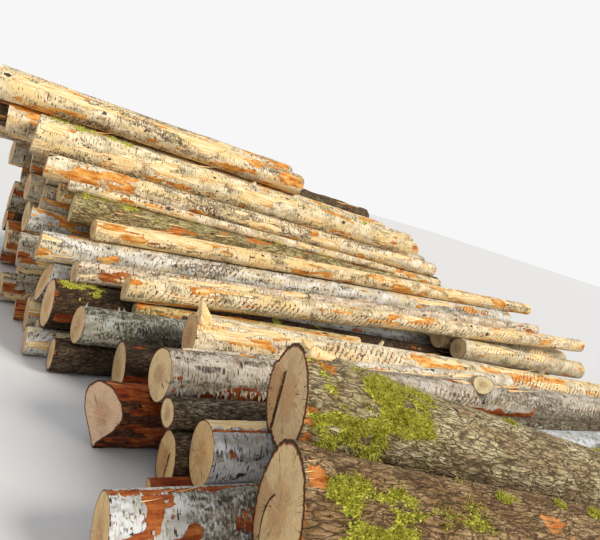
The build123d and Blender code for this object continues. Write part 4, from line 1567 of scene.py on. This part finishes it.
# Stems of the inner courses, taken in turn
MIXED = [
    Dress(tint="#d9d8d0", wood="#d9b88a", fresh_and_sunlit=0.2, grime=0.4, **INNER),
    Dress(tint="#b5a593", wood="#e3bd88", stain=0.15, peel=0.1, **ROUGH, **INNER),
    Dress(tint="#e4dac4", wood="#e6c999", peel=0.2, fresh_and_sunlit=0.3, grime=0.5, **INNER),
    Dress(bark=Bark.BARE, tint="#e3c7a2", wood="#e2b379", stain=0.1, fresh_and_sunlit=0.4, slits=0.0, **INNER),
    Dress(tint="#c8c7bd", wood="#dcbc90", stain=0.35, fresh_and_sunlit=0.1, grime=0.5, **INNER),
]
TATTERS: dict[str, Tatters] = {
    "knotted_birch_log": Tatters(
        curls=(Torn(170, (0.05, 1.1), (172, 186)), Torn(14, (0.0, 1.5), (90, 180))),
        splinters=(Torn(6, (0.1, 2.5), (60, 100), (0.08, 0.2)), Torn(5, (2.5, 2.8), (90, 130), (0.15, 0.35))),
        stubs=(Stub(2.40, 121, 0.078, 0.055, -0.7),)),
    "wounded_birch_log": Tatters(
        curls=(Torn(26, (0.0, 0.6), (92, 180)), Torn(14, (0.2, 2.0), (76, 100))),
        splinters=(Torn(5, (0.0, 0.3), (76, 100), (0.04, 0.1)),)),
    "peeled_birch_log": Tatters(
        curls=(Torn(16, (0.0, 0.6), (100, 116)),), splinters=(Torn(4, (0.2, 2.5), (60, 120), (0.1, 0.2)),),
        stubs=(Stub(3.2, 140, 0.02, 0.05, 0.6),)),
    "scarred_birch_log": Tatters(
        curls=(Torn(30, (0.2, 4.5), (120, 185)),), splinters=(Torn(26, (0.8, 4.6), (70, 170), (0.05, 0.20)),),
        spikes=(Spike(0.0, 100, 0.115, 0.100, 0.10), Spike(0.0, 122, 0.05, 0.07, 0.05)),
        stubs=(Stub(1.5, 80, 0.014, 0.04, 0.5), Stub(3.3, 100, 0.016, 0.05, 0.6))),
    "bright_birch_log": Tatters(
        curls=(Torn(26, (0.1, 3.5), (120, 190)),), splinters=(Torn(26, (0.2, 4.8), (60, 180), (0.05, 0.22)),),
        stubs=(Stub(0.95, 92, 0.012, 0.04, 0.6), Stub(2.4, 110, 0.012, 0.05, 0.6))),
    "lichen_birch_log": Tatters(
        curls=(Torn(24, (0.0, 0.9), (90, 210)),), splinters=(Torn(5, (0.0, 0.1), (140, 220), (0.03, 0.06)),)),
    "torn_birch_log": Tatters(
        curls=(Torn(14, (0.0, 1.5), (90, 190)),), splinters=(Torn(10, (0.1, 4.5), (60, 180), (0.06, 0.2)),)),
    "yellow_birch_log": Tatters(
        curls=(Torn(14, (0.0, 3.0), (90, 190)),), splinters=(Torn(16, (0.1, 4.5), (60, 180), (0.06, 0.25)),)),
    "silver_birch_log": Tatters(
        curls=(Torn(18, (0.0, 3.0), (90, 190)),), splinters=(Torn(10, (0.1, 4.5), (60, 180), (0.06, 0.2)),)),
    "green_bark_log": Tatters(
        splinters=(Torn(10, (0.3, 4.6), (60, 150), (0.06, 0.2)),), stubs=(Stub(2.6, 88, 0.014, 0.03, 0.5),)),
    "crest_birch_log": Tatters(splinters=(Torn(14, (0.1, 4.0), (60, 180), (0.06, 0.2)),)),
    "moss_topped_birch_log": Tatters(
        curls=(Torn(16, (0.1, 2.5), (110, 200)),), splinters=(Torn(14, (0.3, 3.8), (60, 170), (0.06, 0.25)),),
        stubs=(Stub(1.9, 96, 0.016, 0.03, 0.5),)),
    "upper_mossy_log": Tatters(
        spikes=(Spike(0.0, 112, 0.055, 0.040, 0.15), Spike(0.0, 92, 0.030, 0.08, 0.04)),
        splinters=(Torn(10, (0.0, 0.02), (40, 130), (0.03, 0.09)),)),
    "lower_mossy_log": Tatters(splinters=(Torn(7, (0.0, 0.02), (80, 140), (0.03, 0.07)),)),
}
# Blades of moss
MOSS = {"upper_mossy_log": 6500, "lower_mossy_log": 4600, "moss_capped_log": 700, "moss_topped_birch_log": 500,
        "green_bark_log": 400}


@dataclass
class Studio:
    """Floor, light and the camera at the photograph's viewing angle."""

    place: tuple[float, float, float] = (-3.282115, -3.364753, 1.650087)
    azimuth: float = 57.0               # degrees from +X towards +Y in which the camera looks
    pitch: float = 9.0                  # degrees down
    roll: float = 17.0                  # degrees by which the horizon falls to the right
    lens: float = 32.4                  # millimetres
    sensor: float = 36.0                # its sensor's width
    key: float = 2.9                    # strength of the key light
    spread: float = 22.0                # degrees over which it comes
    warm: tuple[float, float, float] = (1.0, 0.95, 0.87)
    towards: tuple[float, float, float] = (0.62, -0.72, 0.62)   # the way to it
    cool: tuple[float, float, float, float] = (0.95, 0.97, 1.0, 1.0)
    fill: float = 0.60                  # strength of the light from all round
    backdrop: tuple[float, float, float, float] = (0.93, 0.93, 0.93, 1.0)
    ground: str = "#dedede"
    half: float = 60.0                  # metres from the floor's middle to its edges

    def camera(self) -> None:
        """Sets up the camera."""
        azimuth, pitch, roll = (math.radians(angle) for angle in (self.azimuth, self.pitch, self.roll))
        level = Vector((math.cos(azimuth), math.sin(azimuth), 0.0))
        right = Vector((math.sin(azimuth), -math.cos(azimuth), 0.0))
        up = Vector((0.0, 0.0, 1.0))
        down = -math.sin(pitch) * level - math.cos(pitch) * up
        forward = math.cos(pitch) * level - math.sin(pitch) * up
        across = math.cos(roll) * right - math.sin(roll) * down
        below = math.sin(roll) * right + math.cos(roll) * down
        data = bpy.data.cameras.new("camera")
        data.lens = self.lens
        data.sensor_width = self.sensor
        data.clip_end = 200.0
        camera = link("camera", data)
        camera.matrix_world = Matrix.Translation(self.place) @ Matrix((across, -below, -forward)).transposed().to_4x4()
        bpy.context.scene.camera = camera

    def light(self) -> None:
        """Sets a broad soft key from the tips' low side, over even light from all round."""
        data = bpy.data.lights.new("key", "SUN")
        data.energy = self.key
        data.angle = math.radians(self.spread)
        data.color = self.warm
        link("key", data).rotation_euler = Vector(self.towards).to_track_quat("Z", "Y").to_euler()
        world = bpy.data.worlds.new("studio")
        bpy.context.scene.world = world
        world.use_nodes = True
        nodes = Nodes(world.node_tree)
        nodes.tree.nodes.remove(nodes.tree.nodes["Background"])
        seen = nodes.add(Kind.LARGER, nodes.add(Kind.SEEN), nodes.add(Kind.MIRRORED))
        soft, pale = nodes.add(Kind.GLOW, self.cool, self.fill), nodes.add(Kind.GLOW, self.backdrop, 1.0)
        nodes.feed(nodes.tree.nodes["World Output"], {"Surface": nodes.add(Kind.EITHER, seen, soft, pale)})

    def floor(self) -> None:
        """Lays the plain pale floor."""
        mesh = bpy.data.meshes.new("floor")
        corners = [(x * self.half, y * self.half, 0.0) for x, y in ((-1, -1), (1, -1), (1, 1), (-1, 1))]
        mesh.from_pydata(corners, [], [(0, 1, 2, 3)])
        material = bpy.data.materials.new("pale_floor")
        material.use_nodes = True
        nodes = Nodes(material.node_tree)
        nodes.feed(nodes.tree.nodes["Principled BSDF"], {"Base Color": self.ground, "Roughness": 0.95})
        mesh.materials.append(material)
        link("floor", mesh)

    def build(self) -> None:
        """Sets up everything, with colours rendered as they are written."""
        self.camera()
        self.light()
        self.floor()
        bpy.context.scene.view_settings.view_transform = "Standard"


def triangles(piece: bpy.types.Object) -> int:
    """How many triangles a piece has."""
    return sum(len(polygon.vertices) - 2 for polygon in piece.data.polygons)


def main() -> None:
    """Builds the studio and dresses the heap, node by node."""
    logging.basicConfig(level=logging.INFO, format="%(message)s")
    Studio().build()
    heap = Heap()
    pieces = []
    for seed, node in enumerate(sorted(frame["nodes"])):
        shift = seed % len(MIXED)
        piece = heap.dress_node(node, DRESSES.get(node) or MIXED[shift:] + MIXED[:shift], seed)
        log.info("%s stands for %s with %d triangles", piece.name, node, triangles(piece))
        pieces.append(piece)
    for piece in heap.tatter() + heap.grow_moss(MOSS):
        log.info("%s with %d triangles", piece.name, triangles(piece))
        pieces.append(piece)
    log.info("%d triangles in all", sum(triangles(piece) for piece in pieces))


if __name__ == "__main__":
    main()
    bpy.context.view_layer.update()
